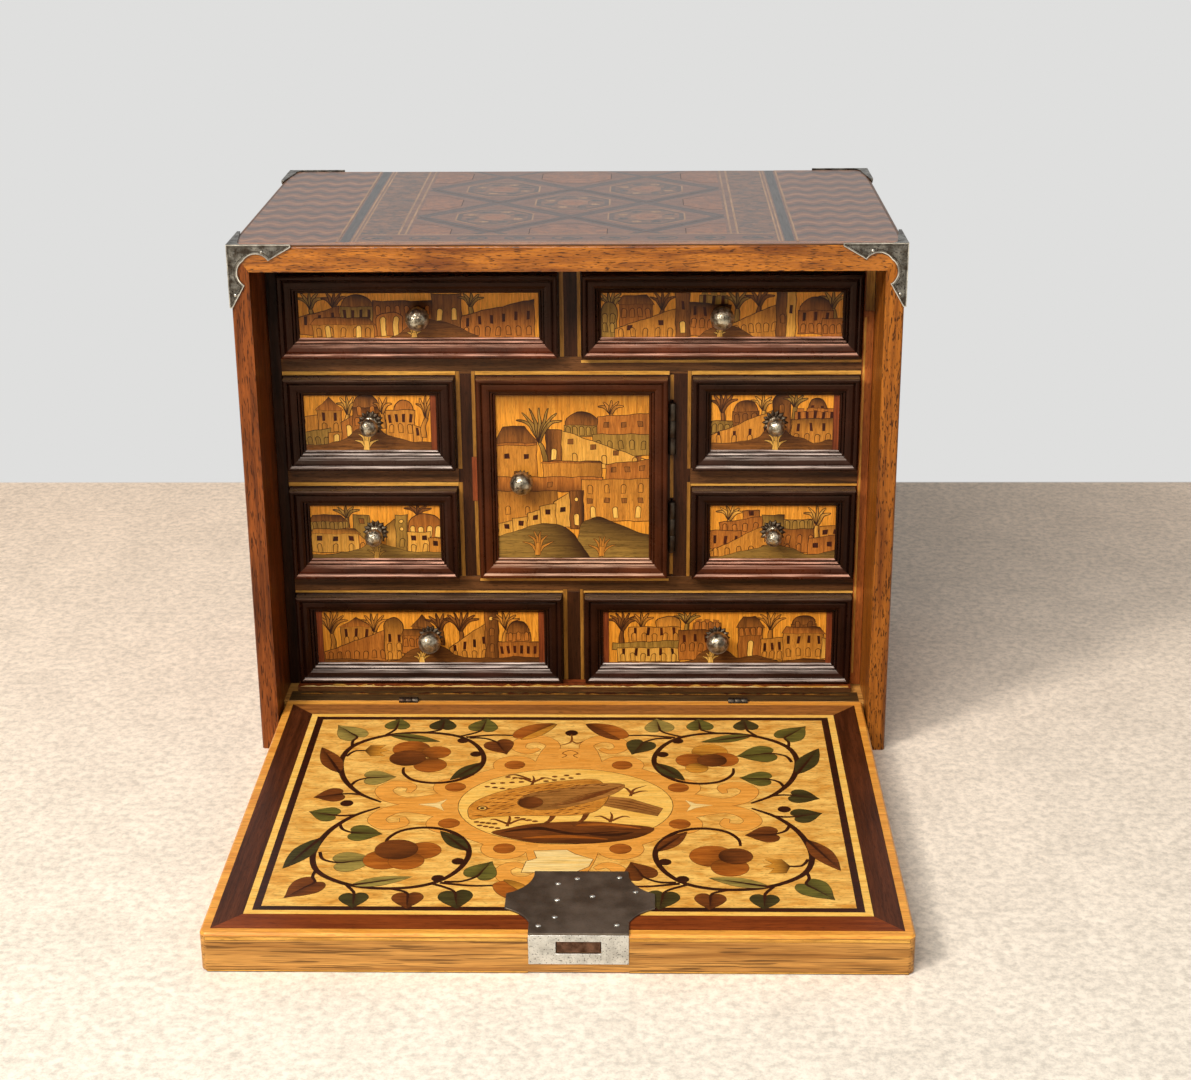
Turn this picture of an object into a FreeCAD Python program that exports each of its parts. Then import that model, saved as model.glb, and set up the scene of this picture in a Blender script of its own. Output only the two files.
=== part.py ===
import FreeCAD, Part
import math
import os

# Table cabinet with a fall front, eight drawers and a small door, in millimetres.
# +Z is up, the front faces -Y, and the origin is the middle of the underside of the case.
# The fall front is modelled open: it lies on the table, level with the bottom board.

# Case: outer sizes and board thicknesses
case_w = 380.0
case_d = 228.0
case_h = 312.0
side_t = 11.0
top_t = 15.0
back_t = 9.0
case_edge_r = 2.0

# Fall front: its core board, the veneer on its inner face and its running gaps
fall_t = 22.0
veneer_t = 1.5
edging_w = 5.0
band_w = 14.0
fall_corner_r = 4.0
fall_edge_r = 1.0
fall_side_gap = 1.5
fall_top_gap = 1.0
fall_hinge_gap = 0.6

# Nest: the inner frame of linings, shelves and uprights that holds the drawers
nest_setback = 48.0
nest_floor_t = 3.0
sill_d = 12.0
lining_t = 6.5
rail_t = 10.5
pair_upright_t = 12.0
door_upright_t = 10.5
top_row_h = 52.0
door_opening_w = 119.0
door_offset = 1.5

# Drawers: board thicknesses and running gaps
drawer_front_t = 10.0
drawer_side_t = 5.0
drawer_back_t = 5.0
drawer_bottom_t = 3.0
drawer_side_drop = 2.0
drawer_side_gap = 0.6
drawer_floor_gap = 0.3
drawer_head_gap = 1.0
drawer_rear_gap = 4.0

# Door: its board and the gaps round it
door_t = 10.0
door_side_gap = 1.0
door_floor_gap = 0.8
door_head_gap = 1.0
door_knob_inset = 27.0
door_knob_drop = 1.0

# Moulded frames round each drawer front and the door, from the outside in, and the veneered panel inside
bead_w = 2.6
bead_h = 8.0
cushion_w = 5.2
cushion_h = 6.4
reed_w = 1.7
reed_h = 4.4
lip_w = 1.7
lip_h = 2.6
member_ease = 0.6
member_ease_share = 0.3
moulding_inset = 0.6
panel_t = 1.0

# Knobs: a ball on a turned neck, over a scalloped rosette, with a shank through the board.
# The four drawers beside the door have the smaller balls.
knob_len = 16.0
large_ball_r = 7.0
small_ball_r = 5.4
neck_r = 2.3
knob_tip_r = 1.2
collar_r = 4.2
collar_h = 1.6
knob_sides = 14
ball_rings = 6
rosette_r = 8.0
rosette_notch = 1.6
lobe_flat = 0.4
rosette_t = 0.7
rosette_lobes = 8
shank_w = 2.6

# Butt hinges of the door
door_hinge_h = 32.0
door_hinge_end = 16.5
door_leaf_t = 1.0
door_leaf_d = 11.0
door_knuckle_r = 2.4
door_pin_r = 1.1

# Butt hinges of the fall front
fall_hinge_x = 101.5
fall_hinge_w = 12.0
fall_leaf_t = 1.2
fall_leaf_d = 16.0
fall_knuckle_r = 2.5
fall_pin_r = 1.2
pin_gap = 0.05
knuckle_gap = 0.2
knuckle_room = 0.3

# Lock in the free edge of the fall front: cover plate, edge plate and sliding bolt
lock_x = 11.0
lock_plate_t = 1.2
lock_neck_w = 50.0
lock_neck_h = 11.0
lock_point_w = 76.0
lock_point_low = 24.0
lock_point_high = 38.5
lock_head_w = 49.0
lock_head_h = 61.5
lock_low_hollow = 1.3
lock_high_hollow = 4.0
edge_plate_h = 16.5
edge_plate_t = 1.4
edge_plate_proud = 0.4
bolt_w = 22.0
bolt_t = 6.2
bolt_len = 30.0
bolt_drop = 7.1
bolt_recess = 0.6
bolt_throw = 8.0
bolt_gap = 0.3
keyhole_r = 2.2
keyhole_slot_w = 2.0
keyhole_slot_l = 8.0
keyhole_inset = 22.0

# Iron mounts on the four top corners
mount_t = 1.0
mount_arm = 35.5
mount_cusp = 22.3
mount_w = 8.4
mount_waist = 4.6
mount_tip = 0.8
flap_w = 9.0
flap_neck_w = 5.0

os.makedirs("parts", exist_ok=True)

Vector = FreeCAD.Vector
X = Vector(1, 0, 0)
Y = Vector(0, 1, 0)
Z = Vector(0, 0, 1)

# Members of a moulding, as width and height, from the outside in
moulding_members = ((bead_w, bead_h), (cushion_w, cushion_h), (reed_w, reed_h), (lip_w, lip_h))
moulding_w = bead_w + cushion_w + reed_w + lip_w

# Planes and levels worked out from the sizes above
front_y = -case_d / 2
back_y = case_d / 2
inner_x = case_w / 2 - side_t
nest_x = inner_x - lining_t
nest_y = front_y + nest_setback
nest_back_y = back_y - back_t
bottom_t = fall_t
under_top = case_h - top_t
floor_z = bottom_t + nest_floor_t
row_h = (under_top - floor_z - 4 * rail_t - top_row_h) / 3
row_1 = (floor_z, floor_z + row_h)
row_2 = (row_1[1] + rail_t, row_1[1] + rail_t + row_h)
row_3 = (row_2[1] + rail_t, row_2[1] + rail_t + row_h)
row_4 = (row_3[1] + rail_t, row_3[1] + rail_t + top_row_h)
door_left = door_offset - door_opening_w / 2
door_right = door_offset + door_opening_w / 2
mid_left = door_left - door_upright_t
mid_right = door_right + door_upright_t
pair_x = pair_upright_t / 2

# The fall front turns about the line where its inner face meets the front of the bottom board
fall_axis_y = front_y + fall_t
fall_axis_z = fall_t
fall_x = inner_x - fall_side_gap
fall_rear_y = fall_axis_y - fall_hinge_gap / 2
fall_l = under_top - fall_top_gap - fall_axis_z - fall_hinge_gap / 2
fall_front_y = fall_rear_y - fall_l
core_top = fall_t - veneer_t

# The door turns about knuckles that stand just in front of its right-hand gap
door_axis_x = door_right - door_side_gap / 2
door_axis_y = nest_y - door_knuckle_r - knuckle_gap
door_span_z = (row_2[0] + door_floor_gap, row_3[1] - door_head_gap)
door_hinge_z = (door_span_z[0] + door_hinge_end, door_span_z[1] - door_hinge_end - door_hinge_h)
door_knob_x = door_left + door_side_gap + door_knob_inset

# Drawer openings as (left, right, bottom, top), each with the ball radius of its knob
drawer_openings = {
    "top_left": ((-nest_x, -pair_x) + row_4, large_ball_r),
    "top_right": ((pair_x, nest_x) + row_4, large_ball_r),
    "upper_left": ((-nest_x, mid_left) + row_3, small_ball_r),
    "upper_right": ((mid_right, nest_x) + row_3, small_ball_r),
    "lower_left": ((-nest_x, mid_left) + row_2, small_ball_r),
    "lower_right": ((mid_right, nest_x) + row_2, small_ball_r),
    "bottom_left": ((-nest_x, -pair_x) + row_1, large_ball_r),
    "bottom_right": ((pair_x, nest_x) + row_1, large_ball_r),
}


def export(name, *solids):
    """Write one named piece, or a group of like pieces, to its own file."""
    shape = solids[0] if len(solids) == 1 else Part.makeCompound(list(solids))
    shape.exportStep("parts/%s.step" % name)


def block(x_span, y_span, z_span):
    """Box between the low and high ends of three spans."""
    low = Vector(x_span[0], y_span[0], z_span[0])
    return Part.makeBox(x_span[1] - x_span[0], y_span[1] - y_span[0], z_span[1] - z_span[0], low)


def flat_face(points):
    """Flat face with straight edges through the points."""
    return Part.Face(Part.makePolygon(points + points[:1]))


def polygon_prism(points, run):
    """Solid made by pushing a flat polygon along a vector."""
    return flat_face(points).extrude(run)


def outline_face(place, path):
    """Flat face from (a, b) points. A step of two points is an arc, a step of one is a line."""
    edges = []
    start = path[0][-1]
    for step in path[1:] + path[:1]:
        end = step[-1]
        if len(step) == 2:
            edges.append(Part.Arc(place(*start), place(*step[0]), place(*end)).toShape())
        else:
            edges.append(Part.LineSegment(place(*start), place(*end)).toShape())
        start = end
    return Part.Face(Part.Wire(edges))


def moulding_outline():
    """Section of a frame: bead, cushion, reed and lip with eased edges, stepping down to the panel."""
    points = [(0, 0)]
    near = 0
    for width, height in moulding_members:
        ease = member_ease_share * width
        points += [(near, height - member_ease), (near + ease, height)]
        points += [(near + width - ease, height), (near + width, height - member_ease)]
        near += width
    return points + [(moulding_w, 0)]


def moulding_member(start, end, inward):
    """One mitred member on the face plane, from corner to corner of the frame's outer edge."""
    along = (end - start).normalize()
    section = [start + inward * across - Y * proud for across, proud in moulding_outline()]
    bar = polygon_prism(section, end - start)
    lean = inward * moulding_w
    corners = [start, end, end + lean - along * moulding_w, start + lean + along * moulding_w]
    return bar.common(polygon_prism(corners, -Y * bead_h))


def moulding_frame(x_span, z_span):
    """Four mitred members round a rectangle on the front plane of the nest."""
    low_left = Vector(x_span[0], nest_y, z_span[0])
    low_right = Vector(x_span[1], nest_y, z_span[0])
    high_right = Vector(x_span[1], nest_y, z_span[1])
    high_left = Vector(x_span[0], nest_y, z_span[1])
    return [
        moulding_member(low_left, low_right, Z),
        moulding_member(low_right, high_right, -X),
        moulding_member(high_right, high_left, -Z),
        moulding_member(high_left, low_left, X),
    ]


def inset(span, low, high):
    """Span drawn in at its two ends."""
    return (span[0] + low, span[1] - high)


def shank(x, z, board_t):
    """Square shank of a knob, through rosette, panel and board. It also cuts its own hole in them."""
    half = shank_w / 2
    return block((x - half, x + half), (nest_y - panel_t - rosette_t, nest_y + board_t), (z - half, z + half))


def veneer_panel(x_span, z_span, knob_x, knob_z):
    """Veneered panel that fills a moulding frame, with the hole for its knob."""
    panel = block(inset(x_span, moulding_w, moulding_w), (nest_y - panel_t, nest_y),
                  inset(z_span, moulding_w, moulding_w))
    return panel.cut(shank(knob_x, knob_z, 0))


def turn(x, z, out, radius, share):
    """Point at a share of a full turn about a knob's axis, so far out from the panel."""
    angle = 2 * math.pi * share
    return Vector(x + radius * math.cos(angle), nest_y - panel_t - out, z + radius * math.sin(angle))


def rosette(x, z):
    """Washer under a knob with a scalloped edge: each lobe is a flat between two notches."""
    points = []
    for lobe in range(rosette_lobes):
        points.append(turn(x, z, 0, rosette_r - rosette_notch, lobe / rosette_lobes))
        points.append(turn(x, z, 0, rosette_r, (lobe + 0.5 - lobe_flat / 2) / rosette_lobes))
        points.append(turn(x, z, 0, rosette_r, (lobe + 0.5 + lobe_flat / 2) / rosette_lobes))
    return polygon_prism(points, -Y * rosette_t).cut(shank(x, z, 0))


def knob(x, z, board_t, ball_r):
    """Turned knob: collar, waisted neck and ball as one stack of rings, on a square shank."""
    ball_at = knob_len - ball_r
    neck_angle = math.asin(neck_r / ball_r)
    sweep = math.pi - neck_angle - math.asin(knob_tip_r / ball_r)
    rings = [(rosette_t, collar_r), (rosette_t + collar_h / 2, collar_r), (rosette_t + collar_h, neck_r)]
    for step in range(ball_rings):
        angle = neck_angle + sweep * step / (ball_rings - 1)
        rings.append((ball_at - ball_r * math.cos(angle), ball_r * math.sin(angle)))
    shares = [side / knob_sides for side in range(knob_sides)]
    loops = [[turn(x, z, out, radius, share) for share in shares] for out, radius in rings]
    faces = [flat_face(loops[0]), flat_face(loops[-1])]
    for near, far in zip(loops, loops[1:]):
        for side in range(knob_sides):
            faces.append(flat_face([near[side - 1], near[side], far[side], far[side - 1]]))
    return Part.Solid(Part.Shell(faces)).fuse(shank(x, z, board_t))


def knuckle(origin, along, spans, radius):
    """Short tubes of a hinge on one axis, as solid rods before the bore is cut."""
    return [Part.makeCylinder(radius, high - low, origin + along * low, along) for low, high in spans]


def slab(origin, spans):
    """Box laid along given directions: each span is (direction, low, high)."""
    (a, a0, a1), (b, b0, b1), (c, c0, c1) = spans
    corner = origin + a * a0 + b * b0 + c * c0
    points = [corner, corner + a * (a1 - a0), corner + a * (a1 - a0) + b * (b1 - b0), corner + b * (b1 - b0)]
    return polygon_prism(points, c * (c1 - c0))


def hinge_leaf(origin, along, into, aside, size, own):
    """Half of a butt hinge: a plate with its own knuckles rolled round the pin's bore."""
    height, leaf_t, leaf_d, radius, pin_r, gap = size
    third = height / 3
    spans = [(third * k + knuckle_gap / 2, third * (k + 1) - knuckle_gap / 2) for k in own]
    plate_side = (aside, gap / 2, gap / 2 + leaf_t)
    leaf = slab(origin, [(along, 0, height), (into, radius + knuckle_gap, leaf_d), plate_side])
    tabs = [slab(origin, [(along, low, high), (into, 0, leaf_d), plate_side]) for low, high in spans]
    leaf = leaf.fuse(tabs + knuckle(origin, along, spans, radius)).removeSplitter()
    return leaf.cut(Part.makeCylinder(pin_r + pin_gap, height, origin, along))


def leaf_pocket(origin, along, into, aside, size):
    """Cutter for the shallow recess that a hinge plate is let into."""
    height, leaf_t, leaf_d, radius, pin_r, gap = size
    return slab(origin, [(along, 0, height), (into, 0, leaf_d), (aside, gap / 2, gap / 2 + leaf_t)])


door_hinge = (door_hinge_h, door_leaf_t, door_leaf_d, door_knuckle_r, door_pin_r, door_side_gap)
fall_hinge = (fall_hinge_w, fall_leaf_t, fall_leaf_d, fall_knuckle_r, fall_pin_r, fall_hinge_gap)
door_hinge_at = [Vector(door_axis_x, door_axis_y, z) for z in door_hinge_z]
fall_hinge_at = [Vector(side * fall_hinge_x - fall_hinge_w / 2, fall_axis_y, fall_axis_z) for side in (-1, 1)]


def fall_knuckle_room():
    """Cutters for the round channels that the fall's knuckles turn in."""
    radius = fall_knuckle_r + knuckle_room
    return [Part.makeCylinder(radius, fall_hinge_w, origin, X) for origin in fall_hinge_at]


def make_case():
    """Carcass: mitred top and sides, bottom board and back, all cut from one rounded block."""
    envelope = block((-case_w / 2, case_w / 2), (front_y, back_y), (0, case_h))
    upper = [edge for edge in envelope.Edges if edge.CenterOfMass.z > case_edge_r]
    envelope = envelope.makeFillet(case_edge_r, upper)
    depth = Y * case_d

    top_points = [Vector(-case_w / 2, front_y, case_h), Vector(case_w / 2, front_y, case_h),
                  Vector(inner_x, front_y, under_top), Vector(-inner_x, front_y, under_top)]
    mortise_y = front_y + fall_t - bolt_drop
    half_slot = bolt_t / 2 + 2 * bolt_gap
    mortise = block((lock_x - bolt_w / 2 - 2 * bolt_gap, lock_x + bolt_w / 2 + 2 * bolt_gap),
                    (mortise_y - half_slot, mortise_y + half_slot), (under_top, under_top + bolt_throw))
    export("case_top", envelope.common(polygon_prism(top_points, depth)).cut(mortise))

    for side, name in ((-1, "case_side_left"), (1, "case_side_right")):
        points = [Vector(side * case_w / 2, front_y, 0), Vector(side * case_w / 2, front_y, case_h),
                  Vector(side * inner_x, front_y, under_top), Vector(side * inner_x, front_y, 0)]
        export(name, envelope.common(polygon_prism(points, depth)))

    bottom = block((-inner_x, inner_x), (fall_axis_y + fall_hinge_gap / 2, back_y), (0, bottom_t))
    pockets = [leaf_pocket(origin, X, -Z, Y, fall_hinge) for origin in fall_hinge_at]
    export("case_bottom", bottom.cut(pockets + fall_knuckle_room()))
    export("case_back", block((-inner_x, inner_x), (nest_back_y, back_y), (bottom_t, under_top)))


def make_nest():
    """Linings, shelves and uprights between which the drawers run and the door hangs."""
    depth = (nest_y, nest_back_y)
    export("nest_linings", *[
        block(span, depth, (bottom_t, under_top)) for span in ((-inner_x, -nest_x), (nest_x, inner_x))
    ])
    wide = (-nest_x, nest_x)
    export("nest_shelves",
           block(wide, (nest_y - sill_d, nest_back_y), (bottom_t, floor_z)),
           block(wide, depth, (row_1[1], row_2[0])),
           block((-nest_x, mid_left), depth, (row_2[1], row_3[0])),
           block((mid_right, nest_x), depth, (row_2[1], row_3[0])),
           block(wide, depth, (row_3[1], row_4[0])),
           block(wide, depth, (row_4[1], under_top)))
    door_rows = (row_2[0], row_3[1])
    pockets = [leaf_pocket(origin, Z, Y, X, door_hinge) for origin in door_hinge_at]
    export("nest_uprights",
           block((-pair_x, pair_x), depth, row_1),
           block((mid_left, door_left), depth, door_rows),
           block((door_right, mid_right), depth, door_rows).cut(pockets),
           block((-pair_x, pair_x), depth, row_4))


def make_drawer(name, opening, ball_r):
    """One drawer: a nailed box, its moulding frame, its veneered panel and its knob."""
    left, right, low, high = opening
    x_span = inset((left, right), drawer_side_gap, drawer_side_gap)
    z_span = inset((low, high), drawer_floor_gap, drawer_head_gap)
    knob_x = (x_span[0] + x_span[1]) / 2
    knob_z = (z_span[0] + z_span[1]) / 2
    inside_y = nest_y + drawer_front_t
    end_y = nest_back_y - drawer_rear_gap
    wall_z = inset(z_span, drawer_bottom_t, drawer_side_drop)
    inside_x = inset(x_span, drawer_side_t, drawer_side_t)
    export("drawer_%s_box" % name,
           block(x_span, (nest_y, inside_y), z_span).cut(shank(knob_x, knob_z, drawer_front_t)),
           block((x_span[0], inside_x[0]), (inside_y, end_y), wall_z),
           block((inside_x[1], x_span[1]), (inside_y, end_y), wall_z),
           block(inside_x, (end_y - drawer_back_t, end_y), wall_z),
           block(x_span, (inside_y, end_y), (z_span[0], wall_z[0])))
    frame_x = inset(x_span, moulding_inset, moulding_inset)
    frame_z = inset(z_span, moulding_inset, moulding_inset)
    export("drawer_%s_moulding" % name, *moulding_frame(frame_x, frame_z))
    export("drawer_%s_marquetry" % name, veneer_panel(frame_x, frame_z, knob_x, knob_z))
    export("drawer_%s_knob" % name, knob(knob_x, knob_z, drawer_front_t, ball_r), rosette(knob_x, knob_z))


def make_door():
    """Door on two butt hinges: board, moulding frame clear of the knuckles, panel and knob."""
    x_span = inset((door_left, door_right), door_side_gap, door_side_gap)
    knob_z = (door_span_z[0] + door_span_z[1]) / 2 - door_knob_drop
    pockets = [leaf_pocket(origin, Z, Y, -X, door_hinge) for origin in door_hinge_at]
    board = block(x_span, (nest_y, nest_y + door_t), door_span_z)
    export("door_board", board.cut(pockets + [shank(door_knob_x, knob_z, door_t)]))
    frame_x = (x_span[0] + moulding_inset, door_axis_x - door_knuckle_r - knuckle_room)
    frame_z = inset(door_span_z, moulding_inset, moulding_inset)
    export("door_moulding", *moulding_frame(frame_x, frame_z))
    export("door_marquetry", veneer_panel(frame_x, frame_z, door_knob_x, knob_z))
    export("door_knob", knob(door_knob_x, knob_z, door_t, large_ball_r), rosette(door_knob_x, knob_z))
    export("door_hinge_leaves", *[hinge_leaf(at, Z, Y, -X, door_hinge, (1,)) for at in door_hinge_at])
    export("door_hinge_frame_leaves", *[hinge_leaf(at, Z, Y, X, door_hinge, (0, 2)) for at in door_hinge_at])
    export("door_hinge_pins", *[Part.makeCylinder(door_pin_r, door_hinge_h, at, Z) for at in door_hinge_at])


def flat_piece(corners):
    """Piece of the veneer layer on the fall's inner face, from its corners in plan."""
    return polygon_prism([Vector(x, y, core_top) for x, y in corners], Z * veneer_t)


def band_frame(x_half, near_y, far_y, width):
    """Four mitred veneer strips along the sides of a rectangle in plan."""
    outer = [(-x_half, near_y), (x_half, near_y), (x_half, far_y), (-x_half, far_y)]
    x_in = x_half - width
    inner = [(-x_in, near_y + width), (x_in, near_y + width), (x_in, far_y - width), (-x_in, far_y - width)]
    return [flat_piece([outer[k], outer[k - 3], inner[k - 3], inner[k]]) for k in range(4)]


def fall_envelope():
    """Outer form of the fall: a board with rounded free corners and eased arrises."""
    board = block((-fall_x, fall_x), (fall_front_y, fall_rear_y), (0, fall_t))
    free_corners = [edge for edge in board.Edges
                    if abs(edge.CenterOfMass.z - fall_t / 2) < fall_edge_r
                    and edge.CenterOfMass.y < fall_front_y + fall_edge_r]
    board = board.makeFillet(fall_corner_r, free_corners)
    arrises = [edge for edge in board.Edges
               if abs(edge.CenterOfMass.z - fall_t / 2) > fall_t / 2 - fall_edge_r
               and edge.CenterOfMass.y < fall_rear_y - fall_edge_r]
    return board.makeChamfer(fall_edge_r, arrises)


def make_fall():
    """Fall front: core board, its pale edging, dark mitred bands, marquetry field and hinges."""
    envelope = fall_envelope()
    half_plate = lock_neck_w / 2
    plate_bed = block((lock_x - half_plate, lock_x + half_plate),
                      (fall_front_y, fall_front_y + edge_plate_t - edge_plate_proud),
                      (fall_t - edge_plate_h, fall_t))
    bolt_x = (lock_x - bolt_w / 2 - bolt_gap, lock_x + bolt_w / 2 + bolt_gap)
    bolt_z = fall_t - bolt_drop
    bolt_well = block(bolt_x, (fall_front_y, fall_front_y + bolt_recess + bolt_len + bolt_gap),
                      (bolt_z - bolt_t / 2 - bolt_gap, bolt_z + bolt_t / 2 + bolt_gap))
    key_y = fall_front_y + keyhole_inset
    keyhole = Part.makeCylinder(keyhole_r, bolt_z, Vector(lock_x, key_y, 0), Z)
    key_slot = block((lock_x - keyhole_slot_w / 2, lock_x + keyhole_slot_w / 2),
                     (key_y - keyhole_slot_l, key_y), (0, bolt_z))
    pockets = [leaf_pocket(origin, X, -Z, -Y, fall_hinge) for origin in fall_hinge_at]
    core = envelope.common(block((-fall_x, fall_x), (fall_front_y, fall_rear_y), (0, core_top)))
    export("fall_board", core.cut([plate_bed, bolt_well, keyhole, key_slot] + pockets + fall_knuckle_room()))
    strips = band_frame(fall_x, fall_front_y, fall_rear_y, edging_w)
    seats = [plate_bed] + pockets + fall_knuckle_room()
    export("fall_edging", *[envelope.common(strip).cut(seats) for strip in strips])
    border_x = fall_x - edging_w
    border_y = inset((fall_front_y, fall_rear_y), edging_w, edging_w)
    export("fall_border", *band_frame(border_x, *border_y, band_w))
    field_x = border_x - band_w
    near_y, far_y = inset(border_y, band_w, band_w)
    field = [(-field_x, near_y), (field_x, near_y), (field_x, far_y), (-field_x, far_y)]
    export("fall_marquetry", flat_piece(field))
    export("fall_hinge_leaves", *[hinge_leaf(at, X, -Z, -Y, fall_hinge, (1,)) for at in fall_hinge_at])
    export("fall_hinge_case_leaves", *[hinge_leaf(at, X, -Z, Y, fall_hinge, (0, 2)) for at in fall_hinge_at])
    export("fall_hinge_pins", *[Part.makeCylinder(fall_pin_r, fall_hinge_w, at, X) for at in fall_hinge_at])


def lock_plate_path():
    """Outline of the cover plate: neck, two side points between hollow curves, square head."""
    neck = lock_neck_w / 2
    point = lock_point_w / 2
    head = lock_head_w / 2
    low_bow = ((neck + point) / 2 - lock_low_hollow, (lock_neck_h + lock_point_low) / 2 + lock_low_hollow)
    high_bow = (head + lock_high_hollow, lock_point_high + 2 * lock_high_hollow)
    return [
        ((-neck, -edge_plate_proud),),
        ((neck, -edge_plate_proud),),
        ((neck, lock_neck_h),),
        (low_bow, (point, lock_point_low)),
        ((point, lock_point_high),),
        (high_bow, (head, lock_head_h)),
        ((-head, lock_head_h),),
        ((-high_bow[0], high_bow[1]), (-point, lock_point_high)),
        ((-point, lock_point_low),),
        ((-low_bow[0], low_bow[1]), (-neck, lock_neck_h)),
    ]


def make_lock():
    """Lock of the fall: shaped cover plate, slotted edge plate and the bolt behind it."""
    def place(across, back):
        return Vector(lock_x + across, fall_front_y + back, fall_t)

    export("lock_plate", outline_face(place, lock_plate_path()).extrude(Z * lock_plate_t))
    bolt_z = fall_t - bolt_drop
    half = lock_neck_w / 2
    plate_y = (fall_front_y - edge_plate_proud, fall_front_y - edge_plate_proud + edge_plate_t)
    plate = block((lock_x - half, lock_x + half), plate_y, (fall_t - edge_plate_h, fall_t))
    slot = block((lock_x - bolt_w / 2 - bolt_gap, lock_x + bolt_w / 2 + bolt_gap), plate_y,
                 (bolt_z - bolt_t / 2 - bolt_gap, bolt_z + bolt_t / 2 + bolt_gap))
    export("lock_edge_plate", plate.cut(slot))
    bolt_y = fall_front_y + bolt_recess
    export("lock_bolt", block((lock_x - bolt_w / 2, lock_x + bolt_w / 2), (bolt_y, bolt_y + bolt_len),
                              (bolt_z - bolt_t / 2, bolt_z + bolt_t / 2)))


def mount_path():
    """Outline of a mount's face: two arms from the corner, each with one cusp and a fine tip."""
    waist = ((mount_cusp + mount_w) / 2, mount_waist)
    return [
        ((-mount_t, -mount_t),),
        ((mount_arm, -mount_t),),
        ((mount_arm, mount_tip),),
        ((mount_cusp, mount_w),),
        (waist, (mount_w, mount_w)),
        (waist[::-1], (mount_w, mount_cusp)),
        ((mount_tip, mount_arm),),
        ((-mount_t, mount_arm),),
    ]


def flap_path():
    """Outline of the flap that a mount folds over the top, along the end of the case."""
    return [
        ((-mount_t, -mount_t),),
        ((flap_w, -mount_t),),
        ((flap_neck_w, flap_w - flap_neck_w), (flap_neck_w - mount_tip, flap_w)),
        ((mount_tip, mount_arm),),
        ((-mount_t, mount_arm),),
    ]


def corner_mount(side, end):
    """One iron mount on a top corner: side and end are -1 or 1 along X and Y."""
    corner = Vector(side * case_w / 2, end * case_d / 2, case_h)

    def on_end(across, down):
        return corner - X * side * across - Z * down

    def on_side(along, down):
        return corner - Y * end * along - Z * down

    def on_top(across, along):
        return corner - X * side * across - Y * end * along

    end_face = outline_face(on_end, mount_path()).extrude(Y * end * mount_t)
    side_face = outline_face(on_side, mount_path()).extrude(X * side * mount_t)
    top_face = outline_face(on_top, flap_path()).extrude(Z * mount_t)
    return end_face.fuse([side_face, top_face]).removeSplitter()


make_case()
make_nest()
for drawer_name, (drawer_opening, drawer_ball_r) in drawer_openings.items():
    make_drawer(drawer_name, drawer_opening, drawer_ball_r)
make_door()
make_fall()
make_lock()
export("corner_mounts", *[corner_mount(side, end) for side in (-1, 1) for end in (-1, 1)])
print("parts written:", len(os.listdir("parts")))
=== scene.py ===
# %% [markdown]
# A table cabinet with a fall front
#
# The cabinet is a walnut box whose front falls open on the table. Inside is a nest of eight drawers round
# a door, each with a little townscape in coloured woods. This lesson takes the finished CAD model as a
# fixed frame and adds what a cabinet maker adds last: finishes, stringing, marquetry, nails and turned
# knobs.

import math
import random

import bpy
from mathutils import Matrix, Vector, noise


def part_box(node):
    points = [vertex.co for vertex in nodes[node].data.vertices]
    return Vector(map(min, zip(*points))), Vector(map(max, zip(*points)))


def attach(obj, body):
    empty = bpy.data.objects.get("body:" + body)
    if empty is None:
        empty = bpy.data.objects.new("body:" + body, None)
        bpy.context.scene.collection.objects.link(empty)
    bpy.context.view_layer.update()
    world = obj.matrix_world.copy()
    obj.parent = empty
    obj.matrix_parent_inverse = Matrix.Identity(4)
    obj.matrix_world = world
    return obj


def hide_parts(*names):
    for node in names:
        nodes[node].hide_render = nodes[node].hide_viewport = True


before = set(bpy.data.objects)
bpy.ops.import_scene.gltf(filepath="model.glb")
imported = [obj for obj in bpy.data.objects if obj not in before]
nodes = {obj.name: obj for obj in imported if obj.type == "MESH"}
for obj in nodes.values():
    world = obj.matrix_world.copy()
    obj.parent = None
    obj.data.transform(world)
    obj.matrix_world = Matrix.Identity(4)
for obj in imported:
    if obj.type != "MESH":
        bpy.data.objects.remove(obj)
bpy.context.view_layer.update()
MM = 0.001


def box_mm(node):
    """The low and the high corner of a CAD node's box, in mm."""
    return [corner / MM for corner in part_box(node)]


# %% [markdown]
# The camera
#
# The photograph was taken from above and a little to the right. Its place was solved from the corners of
# the case and of the open fall, so the render can be laid over the photograph.

# %% Camera
IMAGE_WIDTH_PX = 1191
FOCAL_PX = 2080.24
SENSOR_MM = 36.0
CAMERA_AT_MM = (42.04, -1259.84, 562.53)
YAW = 0.0235
PITCH = -0.35601
ROLL = 0.00788

lens = bpy.data.cameras.new("camera")
lens.sensor_width = SENSOR_MM
lens.lens = FOCAL_PX / IMAGE_WIDTH_PX * SENSOR_MM
camera = bpy.data.objects.new("camera", lens)
bpy.context.scene.collection.objects.link(camera)
aim = Matrix.Rotation(YAW, 4, "Z") @ Matrix.Rotation(PITCH, 4, "X") @ Matrix.Rotation(ROLL, 4, "Y")
look_forward = Matrix.Rotation(math.pi / 2, 4, "X")
camera.matrix_world = Matrix.Translation(Vector(CAMERA_AT_MM) * MM) @ aim @ look_forward
bpy.context.scene.camera = camera
bpy.context.scene.view_settings.view_transform = "Standard"
print("lens in mm:", round(lens.lens, 1))

# %% [markdown]
# Functions for colours and for nodes
#
# Colours are picked as sRGB hex values, as in a paint program, and the shaders want linear light. Every
# material below is a small tree of nodes, so one function adds a node with its settings and its links, and
# a few more add the kinds of node that come up most.

# %% Helpers for materials


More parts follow.
